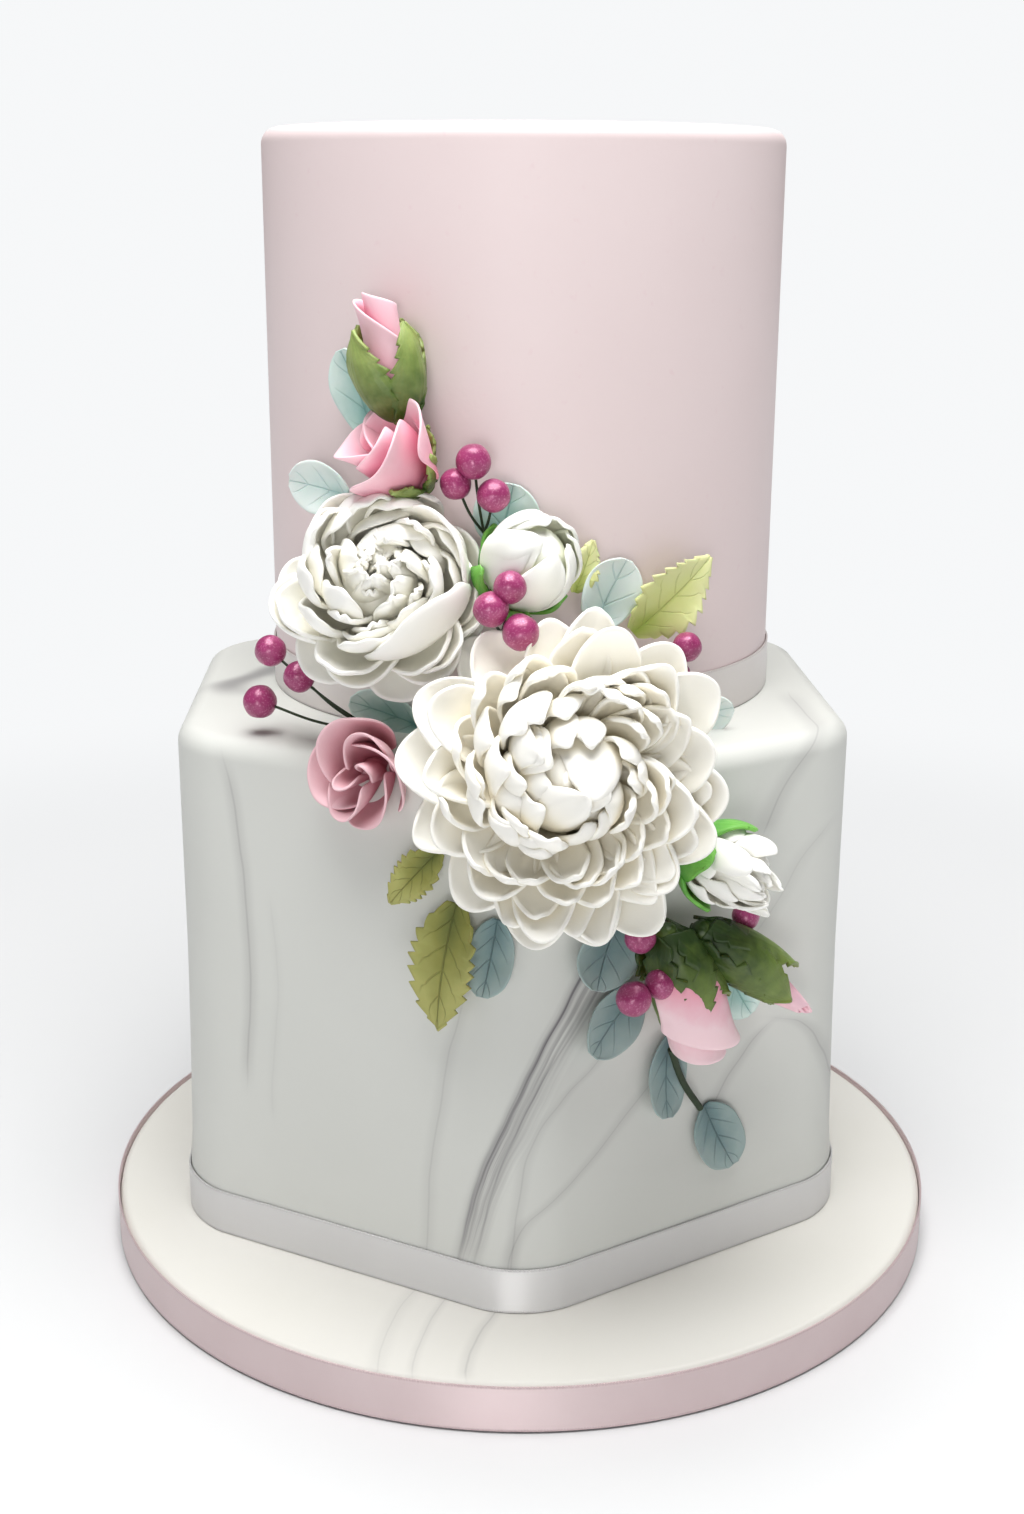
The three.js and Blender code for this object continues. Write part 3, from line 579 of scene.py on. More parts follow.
upper.data.transform(Matrix.Translation((TIER_X, TIER_Y, 0)))
set_down(upper, "upper_tier", "blush_sugarpaste", blush)


# Ribbon round the upper tier
# The palest of the three satins, almost white against the blush paste. It runs round the
# foot of the tier and laps at the back, like the others.
pale_satin = satin("pale_satin", "F4EEEB", "ECE5E2", "D9D0CE")
pale_band = round_ribbon("upper_satin", TIER_R + RIBBON_GAP, TIER_LOW, (TIER_X, TIER_Y), 192)
set_down(pale_band, "upper_ribbon", "pale_satin", pale_satin)


# Ivory bloom
# The largest sugar flower: petals cut from thin ivory flower paste, each hollowed with a
# ball tool, and glued ring on ring round a shut middle, the inner ones curling over it.
CAKE_X = -3.6 * MM


def uneven(i, k):
    """A repeatable number from -1 to 1 for petal i of ring k."""
    wave = math.sin(i * 12.9898 + k * 78.233) * 43758.5453
    return 2 * (wave - math.floor(wave)) - 1


def on_cake(point):
    """A point in mm, measured across from the cake's middle, which is left of the board's."""
    return CAKE_X + point[0] * MM, point[1] * MM, point[2] * MM


def facing(point, direction, turn=0):
    """Stands +Z along a direction at a point of the cake, in mm, turned about it."""
    tilt = Vector((0, 0, 1)).rotation_difference(Vector(direction).normalized())
    place = Matrix.Translation(on_cake(point))
    return place @ tilt.to_matrix().to_4x4() @ Matrix.Rotation(math.radians(turn), 4, "Z")


def breadth(s, shape):
    """Share of the full width at s, from the base at 0 to the tip at 1."""
    neck, peak, end = shape["neck"], shape["peak"], shape["end"]
    if "oval" in shape:
        share = (s - peak) / (peak if s < peak else 1 - peak)
        return max(0.06, 1 - abs(share) ** shape["oval"]) ** 0.5
    if s < peak:
        return neck + (1 - neck) * math.sin(math.pi / 2 * s / peak)
    return 1 - (1 - end) * ((s - peak) / (1 - peak)) ** 2


SPINE_STEPS = 24


def bent_spine(shape, long, low, high, reach, rise):
    """The middle line of a petal, as (way out, height, angle) at even steps along it."""
    first, sweep = math.radians(low), math.radians(high - low) or 1e-4
    curl, flare = shape.get("curl", 1), math.radians(shape.get("flare", 0))

    def angle_at(s):
        return first + sweep * s**curl - flare * s**4

    step = long / SPINE_STEPS
    spine = [(reach, rise, first)]
    for j in range(SPINE_STEPS):
        angle = angle_at((j + 0.5) / SPINE_STEPS)
        x, z, _ = spine[-1]
        end = angle_at((j + 1) / SPINE_STEPS)
        spine.append((x + step * math.cos(angle), z + step * math.sin(angle), end))
    return spine


def shape_blade(blank, shape, long, wide, low, high, cup, reach=0, rise=0, twist=0, phase=0):
    """Bends a flat grid into a petal or leaf. Its spine starts `reach` from the flower's axis
    and `rise` up it, and turns from the angle `low` to `high`; `cup` curls it across."""
    arc = wide / (math.radians(cup) or 1e-4)
    roll = math.radians(twist)
    spine = bent_spine(shape, long, low, high, reach, rise)
    for point in blank.data.vertices:
        u, t = point.co.x, (point.co.y + 1) / 2
        if "oval" in shape:
            t = (1 - math.cos(math.pi * t)) / 2
        s = t * (1 - shape.get("round", 0) * u * u * t)
        s += shape.get("jag", 0) * abs(u) * math.sin(9 * u + 5 * phase) * t
        half = wide / 2 * breadth(t, shape)
        if "teeth" in shape:
            saw = (t * shape["saws"] + 0.2 * math.sin(9 * t + phase)) % 1
            half *= 1 - shape["teeth"] * saw * min(1, 6 * t) * abs(u)
        k = min(max(s, 0), 1) * SPINE_STEPS
        i = min(int(k), SPINE_STEPS - 1)
        way, height, angle = [a + (b - a) * (k - i) for a, b in zip(spine[i], spine[i + 1])]
        phi = u * half / arc
        across = arc * math.sin(phi)
        lift = arc * (1 - math.cos(phi)) + shape.get("fold", 0) * abs(u * half)
        lift += shape.get("rim", 0) * (u**6 + (t**9 if t > 0.5 else 0))
        waves = math.sin(shape.get("waves", 3) * math.pi * s + 2 * u + phase)
        lift += shape.get("wave", 0) * waves * u * u
        lift += shape.get("frill", 0) * math.sin(7 * u + 3 * phase) * t**4
        up = lift * math.cos(roll) + across * math.sin(roll)
        over = across * math.cos(roll) - lift * math.sin(roll)
        way, height = way - up * math.sin(angle), height + up * math.cos(angle)
        point.co = (way * MM, over * MM, height * MM)


def flat_blank(cols, rows):
    """A flat square of rolled paste, ready to be shaped. Its UV map runs from base to tip."""
    bpy.ops.mesh.primitive_grid_add(x_subdivisions=cols, y_subdivisions=rows, size=2)
    return bpy.context.object


def copy_of(blank, name):
    made = bpy.data.objects.new(name, blank.data.copy())
    bpy.context.scene.collection.objects.link(made)
    return made


def petal_rings(rings, cols, rows):
    """Rings of petals round +Z, each ring's blank shaped anew for every petal."""
    blank = flat_blank(cols, rows)
    petals = []
    for k, ring in enumerate(rings):
        for i in range(ring["count"]):
            wild = ring.get("wild", 1)
            swing = 360 * (i + ring.get("start", 0)) / ring["count"] + 5 * uneven(i, k)
            grown = 1 + 0.07 * uneven(i + 40, k)
            lean = 5 * wild * uneven(i + 80, k)
            roll = ring.get("twist", 14) + (2 + 4 * (wild - 1)) * uneven(i + 120, k)
            low, high = ring["bow"]
            high += 9 * (wild - 1) * uneven(i + 200, k)
            amount, towards = ring.get("sway", (0, 0))
            high += amount * math.cos(math.radians(swing - towards))
            dip_at, dip_wide, dip = ring.get("dip", (0, 1, 0))
            aside = abs((swing - dip_at + 180) % 360 - 180)
            dipped = dip * max(0, 1 - aside / dip_wide)
            broad = ring["wide"] * (1 + 0.08 * uneven(i + 240, k))
            shape = PINCHED if i in ring.get("pinched", ()) else ring["shape"]
            made = copy_of(blank, f"petal_{k}_{i}")
            bow = (low + lean - dipped, high + lean - dipped)
            place = (ring["reach"], ring["rise"], roll, 7 * uneven(i + 160, k))
            shape_blade(made, shape, ring["long"] * grown, broad, *bow, ring["cup"], *place)
            turn = Matrix.Rotation(math.radians(swing), 4, "Z")
            made.data.transform(ring.get("tip", Matrix()) @ turn)
            petals.append(made)
    bpy.data.objects.remove(blank)
    return petals


def join(name, parts):
    bpy.ops.object.select_all(action="DESELECT")
    for part in parts:
        part.select_set(True)
    bpy.context.view_layer.objects.active = parts[0]
    if len(parts) > 1:
        bpy.ops.object.join()
    piece = bpy.context.object
    piece.name = name
    return piece


def gather(name, parts, matrix, thick, levels=1):
    """Joins shaped blanks to one piece, gives them their thickness and rounds their edges."""
    piece = join(name, parts)
    thicken(piece, thick * MM, 0)
    if levels:
        smooth = piece.modifiers.new("smooth", "SUBSURF")
        smooth.levels = smooth.render_levels = levels
        bpy.ops.object.modifier_apply(modifier="smooth")
    piece.data.transform(matrix)
    bpy.ops.object.shade_smooth()
    return piece


def heart(profile, matrix):
    """The turned lump of paste that petals are glued to, from (radius, height) pairs in mm."""
    low, high = profile[0][1], profile[-1][1]
    bpy.ops.mesh.primitive_uv_sphere_add(segments=24, ring_count=14, radius=1)
    lump = bpy.context.object
    for point in lump.data.vertices:
        turned = math.asin(max(-1, min(1, point.co.z))) / math.pi + 0.5
        height = low + (high - low) * turned
        span = max(1e-6, math.hypot(point.co.x, point.co.y))
        radius = profile[0][0]
        for (r0, z0), (r1, z1) in zip(profile, profile[1:]):
            if z0 <= height <= z1:
                radius = r0 + (r1 - r0) * (height - z0) / max(1e-6, z1 - z0)
        if abs(point.co.z) > 0.99999:
            radius = 0
        out = radius * MM / span
        point.co = (point.co.x * out, point.co.y * out, height * MM)
    lump.data.transform(matrix)
    bpy.ops.object.shade_smooth()
    return lump


def flower(name, lump, rings, matrix, place, thick, grid, levels=1, lean=Matrix()):
    """Rings of petals round a lump of paste, as one piece. `place` is its node, slot and
    finish, and `grid` the divisions of each petal."""
    middle = heart(lump, matrix @ lean)
    spread = gather(name + "_petals", petal_rings(rings, *grid), matrix, thick, levels)
    set_down(join(name, [spread, middle]), *place)


def three_colours(finish, share, places, codes):
    """Colours that run into each other, at three shares of the way."""
    ramp = put(finish, "ValToRGB", Fac=share)
    stops = ramp.color_ramp.elements
    stops[0].position, stops[0].color = places[0], colour(codes[0])
    stops[1].position, stops[1].color = places[2], colour(codes[2])
    stops.new(places[1]).color = colour(codes[1])
    return ramp.outputs["Color"]


# `dust` is the colour of the painted shade laid in the hollows.
def flower_paste(name, tip, middle, base, dust, glow=0.3, depth=4, rough=0.55, edge=0.25):
    """Matt flower paste, deeper towards each petal's base, partly in its own colour and partly as
    painted shade, with a painted highlight on its side rims and warm painted shade in the hollows."""
    finish = new_finish(name, rough, Specular_IOR_Level=0.3, Subsurface_Weight=glow)
    shader = finish.node_tree.nodes["Principled BSDF"]
    shader.inputs["Subsurface Scale"].default_value = depth * MM
    shader.inputs["Subsurface Radius"].default_value = (1, 0.96, 0.88)
    across, along = own_map(finish)
    spot = own_place(finish)
    drift = times(finish, minus(finish, noise(finish, spot, 160.0, 3.0), 0.5), 0.3)
    # Painted highlight: the side rims are lightened towards the tip colour.
    off = apart(finish, across, 0.5)
    rim = times(finish, math_node(finish, "POWER", times(finish, off, 2.0), 4.0), edge)
    place = sum_of(finish, [along, drift, rim])
    # From base to tip the colour runs deeper to lighter: partly the paste's own colour, partly
    # painted shade where petals overlap near their bases.
    paste = three_colours(finish, place, (0.05, 0.45, 0.95), (base, middle, tip))
    # Painted shade: where the occlusion node finds a hollow, the colour turns up to half way to
    # the dust colour.
    hollow_shade = put(finish, "AmbientOcclusion", {"samples": 6, "only_local": True}, Distance=9 * MM)
    dusted = between(finish, hollow_shade.outputs["AO"], 0.6, 0.1, 0.5)
    tint = blend_colour(finish, dusted, paste, colour(dust))
    wire_up(finish, tint, noise(finish, spot, 1400.0), 0.12, 0.2 * MM)
    return finish


# The last colour given to each flower paste, here and below, is the painted shade in its hollows.
ivory_paste = flower_paste("ivory_flower_paste", "FCFAF3", "FCF9EF", "F9F3E2", "F3E9CF", 0.15, 3)
SPOON = {"neck": 0.3, "peak": 0.6, "end": 0.66, "round": 0.15, "rim": 1.7, "wave": 1.0}
HOOD = {"neck": 0.45, "peak": 0.62, "end": 0.42, "round": 0.14, "rim": 0.5, "wave": 1.0}
HOOD |= {"frill": 0.5, "curl": 2.2}
PINCHED = {"neck": 0.3, "peak": 0.55, "end": 0.3, "round": 0.05, "rim": 1.6, "wave": 0.9}
PINCHED["fold"] = 0.2
WRAP = {"neck": 0.6, "peak": 0.5, "end": 0.5, "round": 0.1, "rim": 0.3, "wave": 0.6}
WRAP |= {"frill": 1.0, "curl": 1.6}
FOLDED = {"neck": 0.4, "peak": 0.5, "end": 0.35, "round": 0.1, "wave": 1.0, "frill": 0.8}


def leaning(angle):
    """Tips the inner rings towards the lower right, and sets them off the other way at the
    base, as the flower was made."""
    place = Matrix.Translation((-0.2 * angle * MM, 0.1 * angle * MM, 0))
    return place @ Matrix.Rotation(math.radians(angle), 4, Vector((0.5, 0.87, 0)))


RING_NAMES = ("shape", "count", "long", "wide", "bow", "cup", "reach", "rise")


def ring(*sizes, **more):
    """One ring of petals: its petal's shape, their count, length and width, the angles of a
    spine's two ends, the curl across, and where the spine starts. `sway` adds to the far
    angle, most towards one side; `dip` lays a few down; `pinched` lists folded ones."""
    return {**dict(zip(RING_NAMES, sizes)), **more}


GREAT_RINGS = [
    ring(SPOON, 14, 43.5, 26, (-14, 34), 80, 9, -1, twist=18, wild=1.5),
    ring(SPOON, 13, 40, 24, (3, 56), 90, 9, 3, start=0.5, twist=17, wild=2),
    ring(HOOD, 13, 38, 21, (5, 84), 80, 9, 5, wild=2, sway=(44, 150), tip=leaning(3)),
    ring(HOOD, 13, 36, 20, (15, 112), 85, 10, 7, start=0.5, wild=2.6, sway=(42, 150)),
    ring(HOOD, 13, 33, 18, (26, 126), 90, 11, 9, wild=3, sway=(36, 150), tip=leaning(9)),
    ring(HOOD, 13, 31, 17, (38, 136), 95, 12, 10, start=0.5, wild=3.2, sway=(26, 150)),
    ring(HOOD, 12, 30, 15.5, (50, 142), 100, 12.5, 11, wild=3.2, sway=(16, 150)),
    ring(HOOD, 11, 30, 14.5, (62, 144), 100, 13, 11, start=0.4, wild=3, tip=leaning(16)),
    ring(WRAP, 7, 46, 22, (80, 168), 95, 12, 1, start=0.3, twist=12, wild=1.8, tip=leaning(18)),
]
GREAT_RINGS[0] |= {"dip": (110, 44, 56), "pinched": (3, 8)}
GREAT_RINGS[1] |= {"dip": (110, 44, 62), "pinched": (1, 6, 10)}
GREAT_RINGS[2]["pinched"] = (2, 12)
GREAT_RINGS[3] |= {"tip": leaning(6), "pinched": (7,)}
GREAT_RINGS[5]["tip"] = leaning(12)
GREAT_RINGS[6]["tip"] = leaning(14)
GREAT_HEART = [(0, -4), (8, -4), (12, 1), (13, 10), (13, 22), (11, 31), (6, 36), (0, 38)]
GREAT_AT = facing([15.5, -110, 202], [0, -0.957, 0.29]) @ Matrix.Diagonal((1.02, 1.1, 1, 1))
GREAT = ("great_bloom", "ivory_flower_paste", ivory_paste)
flower("ivory_bloom", GREAT_HEART, GREAT_RINGS, GREAT_AT, GREAT, 1.5, (7, 11), lean=leaning(18))


# White bloom
# A half-open flower of whiter paste: loose cupped petals below, hooded ones above, and a
# broad one at each side, held round a crowded middle of narrow folded ones.
white_paste = flower_paste("white_flower_paste", "FDFCF7", "FCFBF2", "FBF9EE", "F9F5E4", 0.15, 3)
SHELL = {"neck": 0.5, "peak": 0.55, "end": 0.75, "round": 0.18, "rim": 0.9, "wave": 1.2}
SHELL["jag"] = 0.012
CUPPED = {"neck": 0.5, "peak": 0.58, "end": 0.7, "round": 0.18, "rim": 0.7, "wave": 1.2}
CUPPED |= {"frill": 0.4, "curl": 1.5}
ROUND_RINGS = [
    ring(SHELL, 7, 33, 29, (-4, 56), 75, 6, -2, start=0.2, twist=12, wild=1.3, sway=(22, 75)),
    ring(SHELL, 1, 38, 36, (44, 104), 90, 12, 0, start=0.03, twist=6),
    ring(SHELL, 7, 34, 29, (8, 86), 85, 9, 0, start=0.6, twist=14, wild=1.8, sway=(40, 80)),
    ring(SHELL, 1, 49, 46, (32, 138), 80, 12.5, 0, start=-0.19, twist=0),
    ring(CUPPED, 8, 36, 27, (16, 114), 90, 10, 1, start=0.2, wild=2.2, sway=(38, 80)),
    ring(CUPPED, 8, 35, 23, (28, 128), 95, 10, 3, start=0.5, wild=2.6, sway=(30, 80)),
    ring(CUPPED, 9, 34, 20, (40, 130), 95, 10, 5, start=0.2, wild=2.8, sway=(22, 80)),
    ring(FOLDED, 10, 33, 17, (52, 126), 90, 9, 6, wild=3, sway=(16, 80)),
    ring(FOLDED, 10, 31, 14, (64, 120), 90, 7.5, 7, start=0.4, wild=3, sway=(10, 80)),
    ring(FOLDED, 8, 30, 12, (72, 112), 85, 5, 8, start=0.4, wild=3),
    ring(FOLDED, 5, 29, 10, (80, 104), 85, 2.5, 8, start=0.2, wild=3),
]
ROUND_HEART = [(0, -5), (7, -5), (11, 2), (13, 10), (12, 18), (8, 25), (0, 28)]
ROUND_FACE = [0.03, -0.9, 0.42]
ROUND_AT = facing([-41, -62, 249], ROUND_FACE, 20)
ROUND = ("round_bloom", "white_flower_paste", white_paste)
flower("white_bloom", ROUND_HEART, ROUND_RINGS, ROUND_AT, ROUND, 1.5, (10, 10))


# Shut bud
# A ball of white paste wrapped in overlapping petals that meet at its tip, faintly green
# where it leaves its calyx.
bud_paste = flower_paste("bud_flower_paste", "F9F9F3", "F5F6EA", "D8E6B0", "E3E8C0")
SHUT_WRAP = {"neck": 0.5, "peak": 0.55, "end": 0.5, "round": 0.12, "rim": 0.3, "wave": 0.4}
SHUT_WRAP["frill"] = 0.5
SHUT_AT = facing([5, -78, 261], [0.55, -0.5, 0.67])
SHUT_RINGS = [
    ring(SHUT_WRAP, 5, 37, 21, (12, 158), 85, 3, -13, twist=9),
    ring(SHUT_WRAP, 4, 35, 18, (14, 160), 90, 3, -12, twist=12, start=0.5),
]
SHUT_HEART = [(0, -13), (7, -11.5), (11.5, -7), (12.5, 0), (10.5, 7), (6, 11.5), (0, 12.5)]
SHUT = ("shut_bud", "white_flower_paste", bud_paste)
flower("white_bud", SHUT_HEART, SHUT_RINGS, SHUT_AT, SHUT, 1.2, (10, 14))


# Opening bud
# A smaller white bud on the right, its outer petals loose and a tangle of thin ones in its
# mouth.
OPENING_AT = facing([59, -92, 172], [0.75, -0.6, -0.27])
OPENING_RINGS = [
    ring(SHELL, 5, 20, 15, (26, 104), 100, 3, -1, wild=1.8),
    ring(SHELL, 6, 25, 13, (34, 118), 95, 3, 0, start=0.5, wild=2.2),
    ring(SHELL, 6, 30, 11, (44, 120), 90, 3.5, 1, start=0.2, wild=2.6),
    ring(FOLDED, 7, 28, 9, (56, 118), 80, 4, 3, wild=3),
]
OPENING_HEART = [(0, -3), (5, -2), (7, 5), (7, 13), (4.5, 18), (0, 20)]
OPENING = ("opening_bud", "white_flower_paste", white_paste)
flower("loose_bud", OPENING_HEART, OPENING_RINGS, OPENING_AT, OPENING, 1.0, (8, 10))


# Pink roses
# Small wired roses and rosebuds: thin pink petals wrapped round a cone of paste, lighter at
# the lip, partly in their own colour and partly as a painted highlight, with painted shade
# deeper in the folds. One at the left is a duskier pink than the rest.
# The last colour of each rose paste is the painted shade in its folds.
rose_paste = flower_paste("pink_flower_paste", "F8CAD5", "F0A6B8", "DE6F8C", "D65F86", 0.2)
PALE_ROSE = ("F9D6DC", "ED98AE", "DA6687", "D65F86")
pale_rose_paste = flower_paste("pale_pink_flower_paste", *PALE_ROSE, 0.2)
dusky_paste = flower_paste("dusky_flower_paste", "E9BFC6", "DDA2AC", "C4707F", "A44C60", 0.15)
LIP = {"neck": 0.5, "peak": 0.62, "end": 0.72, "round": 0.18, "wave": 1.0, "flare": 55}
CLOSED = {"neck": 0.55, "peak": 0.6, "end": 0.75, "round": 0.2, "wave": 1.2, "flare": 26}
COIL = {"neck": 0.6, "peak": 0.6, "end": 0.7, "round": 0.2, "wave": 0.5, "flare": 10}


def rose(name, matrix, outer, long, wide, bow, place, layers):
    """Outer petals, given by shape, count and breadth, round tightly coiled inner ones."""
    shape, count, turned = outer
    girth = wide / 4
    low, high = bow
    coiled, inner = (low + 8, high + 10), (low + 34, 96)
    rings = [
        ring(shape, count, long, wide * turned, (low, high + 14), 480 / count, 2.5, 0, twist=18),
        ring(CLOSED, 2, 0.97 * long, 1.1 * wide, coiled, 210, 2, 1, start=0.3, twist=22),
        ring(COIL, 2, 0.92 * long, 0.6 * wide, inner, 250, 1.2, 1.5, start=0.1, twist=24),
    ]
    cone = [(0, -3), (3, -2), (0.7 * girth, 0.25 * long), (0.4 * girth, 0.4 * long)]
    cone.append((0, 0.5 * long))
    flower(name, cone, rings[:layers], matrix, place, 0.9, (12, 12))


BELLY = 0.55
SLANT_FROM = 0.72


def furled(name, matrix, long, wide, turns, outer_end, mouth, node, finish):
    """A bud of one long pink petal rolled round itself. Its outer end lies at an angle round
    the bud and slants to the tip; `mouth` is the tip's breadth as a share of the bud's."""
    sheet = flat_blank(64, 18)
    end = math.radians(outer_end)
    for point in sheet.data.vertices:
        u, t = (point.co.x + 1) / 2, (point.co.y + 1) / 2
        around = end - 2 * math.pi * turns * (1 - u)
        slant = max(0, (u - SLANT_FROM) / (1 - SLANT_FROM))
        height = t * (0.94 - 0.34 * slant**1.6 + 0.03 * (1 - u))
        height += 0.07 * t * math.cos(around - end + 2.2)
        if t < BELLY:
            girth = 0.3 + 0.7 * math.sin(math.pi / 2 * t / BELLY)
        else:
            girth = 1 - (1 - mouth) * ((t - BELLY) / (1 - BELLY)) ** 2
        radius = wide / 2 * girth * (0.42 + 0.58 * u) + 0.1 * wide * u * t**9
        radius += 0.03 * wide * math.sin(2 * around + 4 * t) * t
        out = radius * MM
        point.co = (out * math.cos(around), out * math.sin(around), long * height * MM)
    spread = gather(name + "_petal", [sheet], matrix, 0.9)
    cone = [(0, -3), (3, -2), (0.18 * wide, 0.3 * long), (0.1 * wide, 0.5 * long)]
    middle = heart([*cone, (0, 0.6 * long)], matrix)
    set_down(join(name, [spread, middle]), node, "pink_flower_paste", finish)


TALL_AT = facing([-35, -62, 306], [-0.22, 0.15, 1])
HALF_AT = facing([-29, -65.5, 285], [-0.6, -0.35, 0.7], 30)
SIDE_AT = facing([-41, -84, 197], [-0.45, -0.88, 0.05])
HANGING_AT = facing([50, -104, 147], [0.29, 0.2, -0.94], 60)
RIGHT_AT = facing([62, -100, 147], [0.64, 0.43, -0.64])
HALF = ("half_open_rose", "pink_flower_paste", rose_paste)
DUSKY = ("side_rose", "dusky_flower_paste", dusky_paste)
furled("tall_bud", TALL_AT, 37, 14, 1.7, -50, 1.05, "tall_rosebud", rose_paste)
rose("half_rose", HALF_AT, (LIP, 3, 1.6), 25, 24, (45, 76), HALF, 2)
rose("dusky_rose", SIDE_AT, (LIP, 4, 1.4), 23, 22, (24, 84), DUSKY, 3)
furled("low_rose", HANGING_AT, 46, 27, 1.8, -40, 0.95, "hanging_rose", pale_rose_paste)
furled("right_bud", RIGHT_AT, 61, 15, 1.8, -80, 0.2, "right_rosebud", rose_paste)


# Sepals and calyxes
# Green flower paste cut to pointed sepals, nicked along their edges with scissors and glued
# up the back of each bud. The white buds have brighter green ones.
def green_paste(name, light, dark):
    """Glossy green paste, dusted darker towards its base and streaked along its length."""
    finish = new_finish(name, 0.42, Specular_IOR_Level=0.4, Subsurface_Weight=0.05)
    across, along = own_map(finish)
    mottle = noise(finish, own_place(finish), 190.0, 4.0)
    rib = math_node(finish, "SINE", times(finish, across, 60))
    share = sum_of(finish, [along, times(finish, mottle, 0.9)])
    tint = blend_colour(finish, minus(finish, share, 0.58, True), colour(dark), colour(light))
    height = math_node(finish, "ADD", times(finish, rib, 0.2), mottle)
    wire_up(finish, tint, height, 0.35, 0.4 * MM)
    return finish


sepal_green = green_paste("sepal_green", "A3B468", "3C5A1B")
dark_green = green_paste("dark_sepal_green", "7D9243", "2B4117")
fresh_green = green_paste("fresh_green", "7CC257", "3E8A2A")
SEPAL = {"neck": 0.7, "peak": 0.32, "end": 0.04, "teeth": 0.24, "saws": 6, "wave": 0.9}
SEPAL |= {"fold": 0.05, "flare": 10}
HUGGING = {**SEPAL, "neck": 0.55, "peak": 0.38, "flare": 0, "curl": 0.6}
PLAIN_SEPAL = {"neck": 0.5, "peak": 0.45, "end": 0.25, "round": 0.05, "wave": 0.6}
COLLAR_AT = facing([-41, -62, 249], ROUND_FACE, -65)
TALL = (HUGGING, 4, 34, 20, (18, 112), 130, 2, -3)
HALF_OPEN = (SEPAL, 5, 17, 8, (34, 70), 90, 3, -3)
LOW = (HUGGING, 4, 35, 31, (40, 98), 140, 3, -3)
RIGHT = (HUGGING, 4, 47, 25, (58, 102), 150, 3, -3)
LOOSE = (PLAIN_SEPAL, 4, 21, 22, (26, 98), 90, 5, -3)
TIGHT = (PLAIN_SEPAL, 5, 21, 12, (8, 92), 90, 4, -16.5)
SINGLE = (PLAIN_SEPAL, 1, 36, 13, (0, 30), 90, 4, -9)
SEPALS = [
    ("tall_sepals", "tall_rosebud_sepals", TALL_AT, TALL, 0.5, sepal_green),
    ("half_sepals", "half_open_rose_sepals", HALF_AT, HALF_OPEN, 0, sepal_green),
    ("low_sepals", "hanging_rose_sepals", HANGING_AT, LOW, 0, dark_green),
    ("right_sepals", "right_rosebud_sepals", RIGHT_AT, RIGHT, 0.5, dark_green),
    ("loose_calyx", "opening_bud_sepals", OPENING_AT, LOOSE, 0.3, fresh_green),
    ("white_calyx", "shut_bud_sepals", SHUT_AT, TIGHT, 0, fresh_green),
    ("white_sepal", "round_bloom_sepal", COLLAR_AT, SINGLE, 0, fresh_green),
]
for name, node, matrix, petal, start, finish in SEPALS:
    rise = petal[-1]
    knob = [(0, rise - 2), (2.4, rise - 1.6), (3.6, rise), (3, rise + 2), (0, rise + 2.5)]
    place = (node, "fresh_green" if finish is fresh_green else "sepal_green", finish)
    whorl = ring(*petal, start=start, twist=4)
    flower(name, knob, [whorl], matrix, place, 1.2, (12, 56), levels=0)


# Berries
# Balls of plum paste on wires, each rolled by hand, brushed with pearl lustre and glazed.
# They aren't quite round, and a pinch shows where the wire goes in.
berry_paste = new_finish("berry", 0.34, Coat_Weight=0.35, Coat_Roughness=0.25, Metallic=0.12)
spot = own_place(berry_paste)
patch = noise(berry_paste, spot, 230.0, 4.0)
pearl = noise(berry_paste, spot, 1500.0)
# Painted highlight: light pink specks in the colour stand for the pearl lustre's glints.
glint = times(berry_paste, between(berry_paste, pearl, 0.52, 0.75, kind="LINEAR"), 0.5)
plum = blend_colour(berry_paste, patch, colour("B4467F"), colour("7E1F4C"))
berry_tint = blend_colour(berry_paste, glint, plum, colour("D68BB0"))
wire_up(berry_paste, berry_tint, patch, 0.4, 0.7 * MM)
TOP = [(-12, -70, 291.5, 5.6), (-17.6, -69, 284.6, 5), (-5.7, -71, 281.4, 5.3)]
MIDDLE = [(-0.3, -95, 257, 5.1), (-6, -96, 250.5, 5.5), (3, -98, 244, 5.7)]
LEFT = [(-79, -55.4, 227.4, 5.2), (-69, -62, 220.5, 5.2), (-83.2, -54, 210, 5.6)]
BERRIES = [
    ("top", (-9, -62, 268), TOP),
    ("middle", (-3, -72, 238), MIDDLE),
    ("left", (-44, -66, 203), LEFT),
    ("right", (50, -62, 214), [(57, -60, 230.6, 4.9), (54, -61, 222, 4.3)]),
    ("low", (52, -98, 141), [(41, -108, 148.5, 5), (47.6, -110, 134, 5), (39, -114.8, 131, 5.6)]),
    ("far", (66, -88, 152), [(76.7, -84, 146.7, 4.6)]),
]
bpy.ops.mesh.primitive_uv_sphere_add(segments=28, ring_count=18, radius=1)
ball = bpy.context.object
bpy.ops.object.mode_set(mode="EDIT")
choose(ball, "verts", lambda point: point.co.z > 0.999)
PINCH = {"use_proportional_edit": True, "proportional_edit_falloff": "SMOOTH"}
bpy.ops.transform.translate(value=(0, 0, -0.1), proportional_size=0.5, **PINCH)
bpy.ops.object.mode_set(mode="OBJECT")
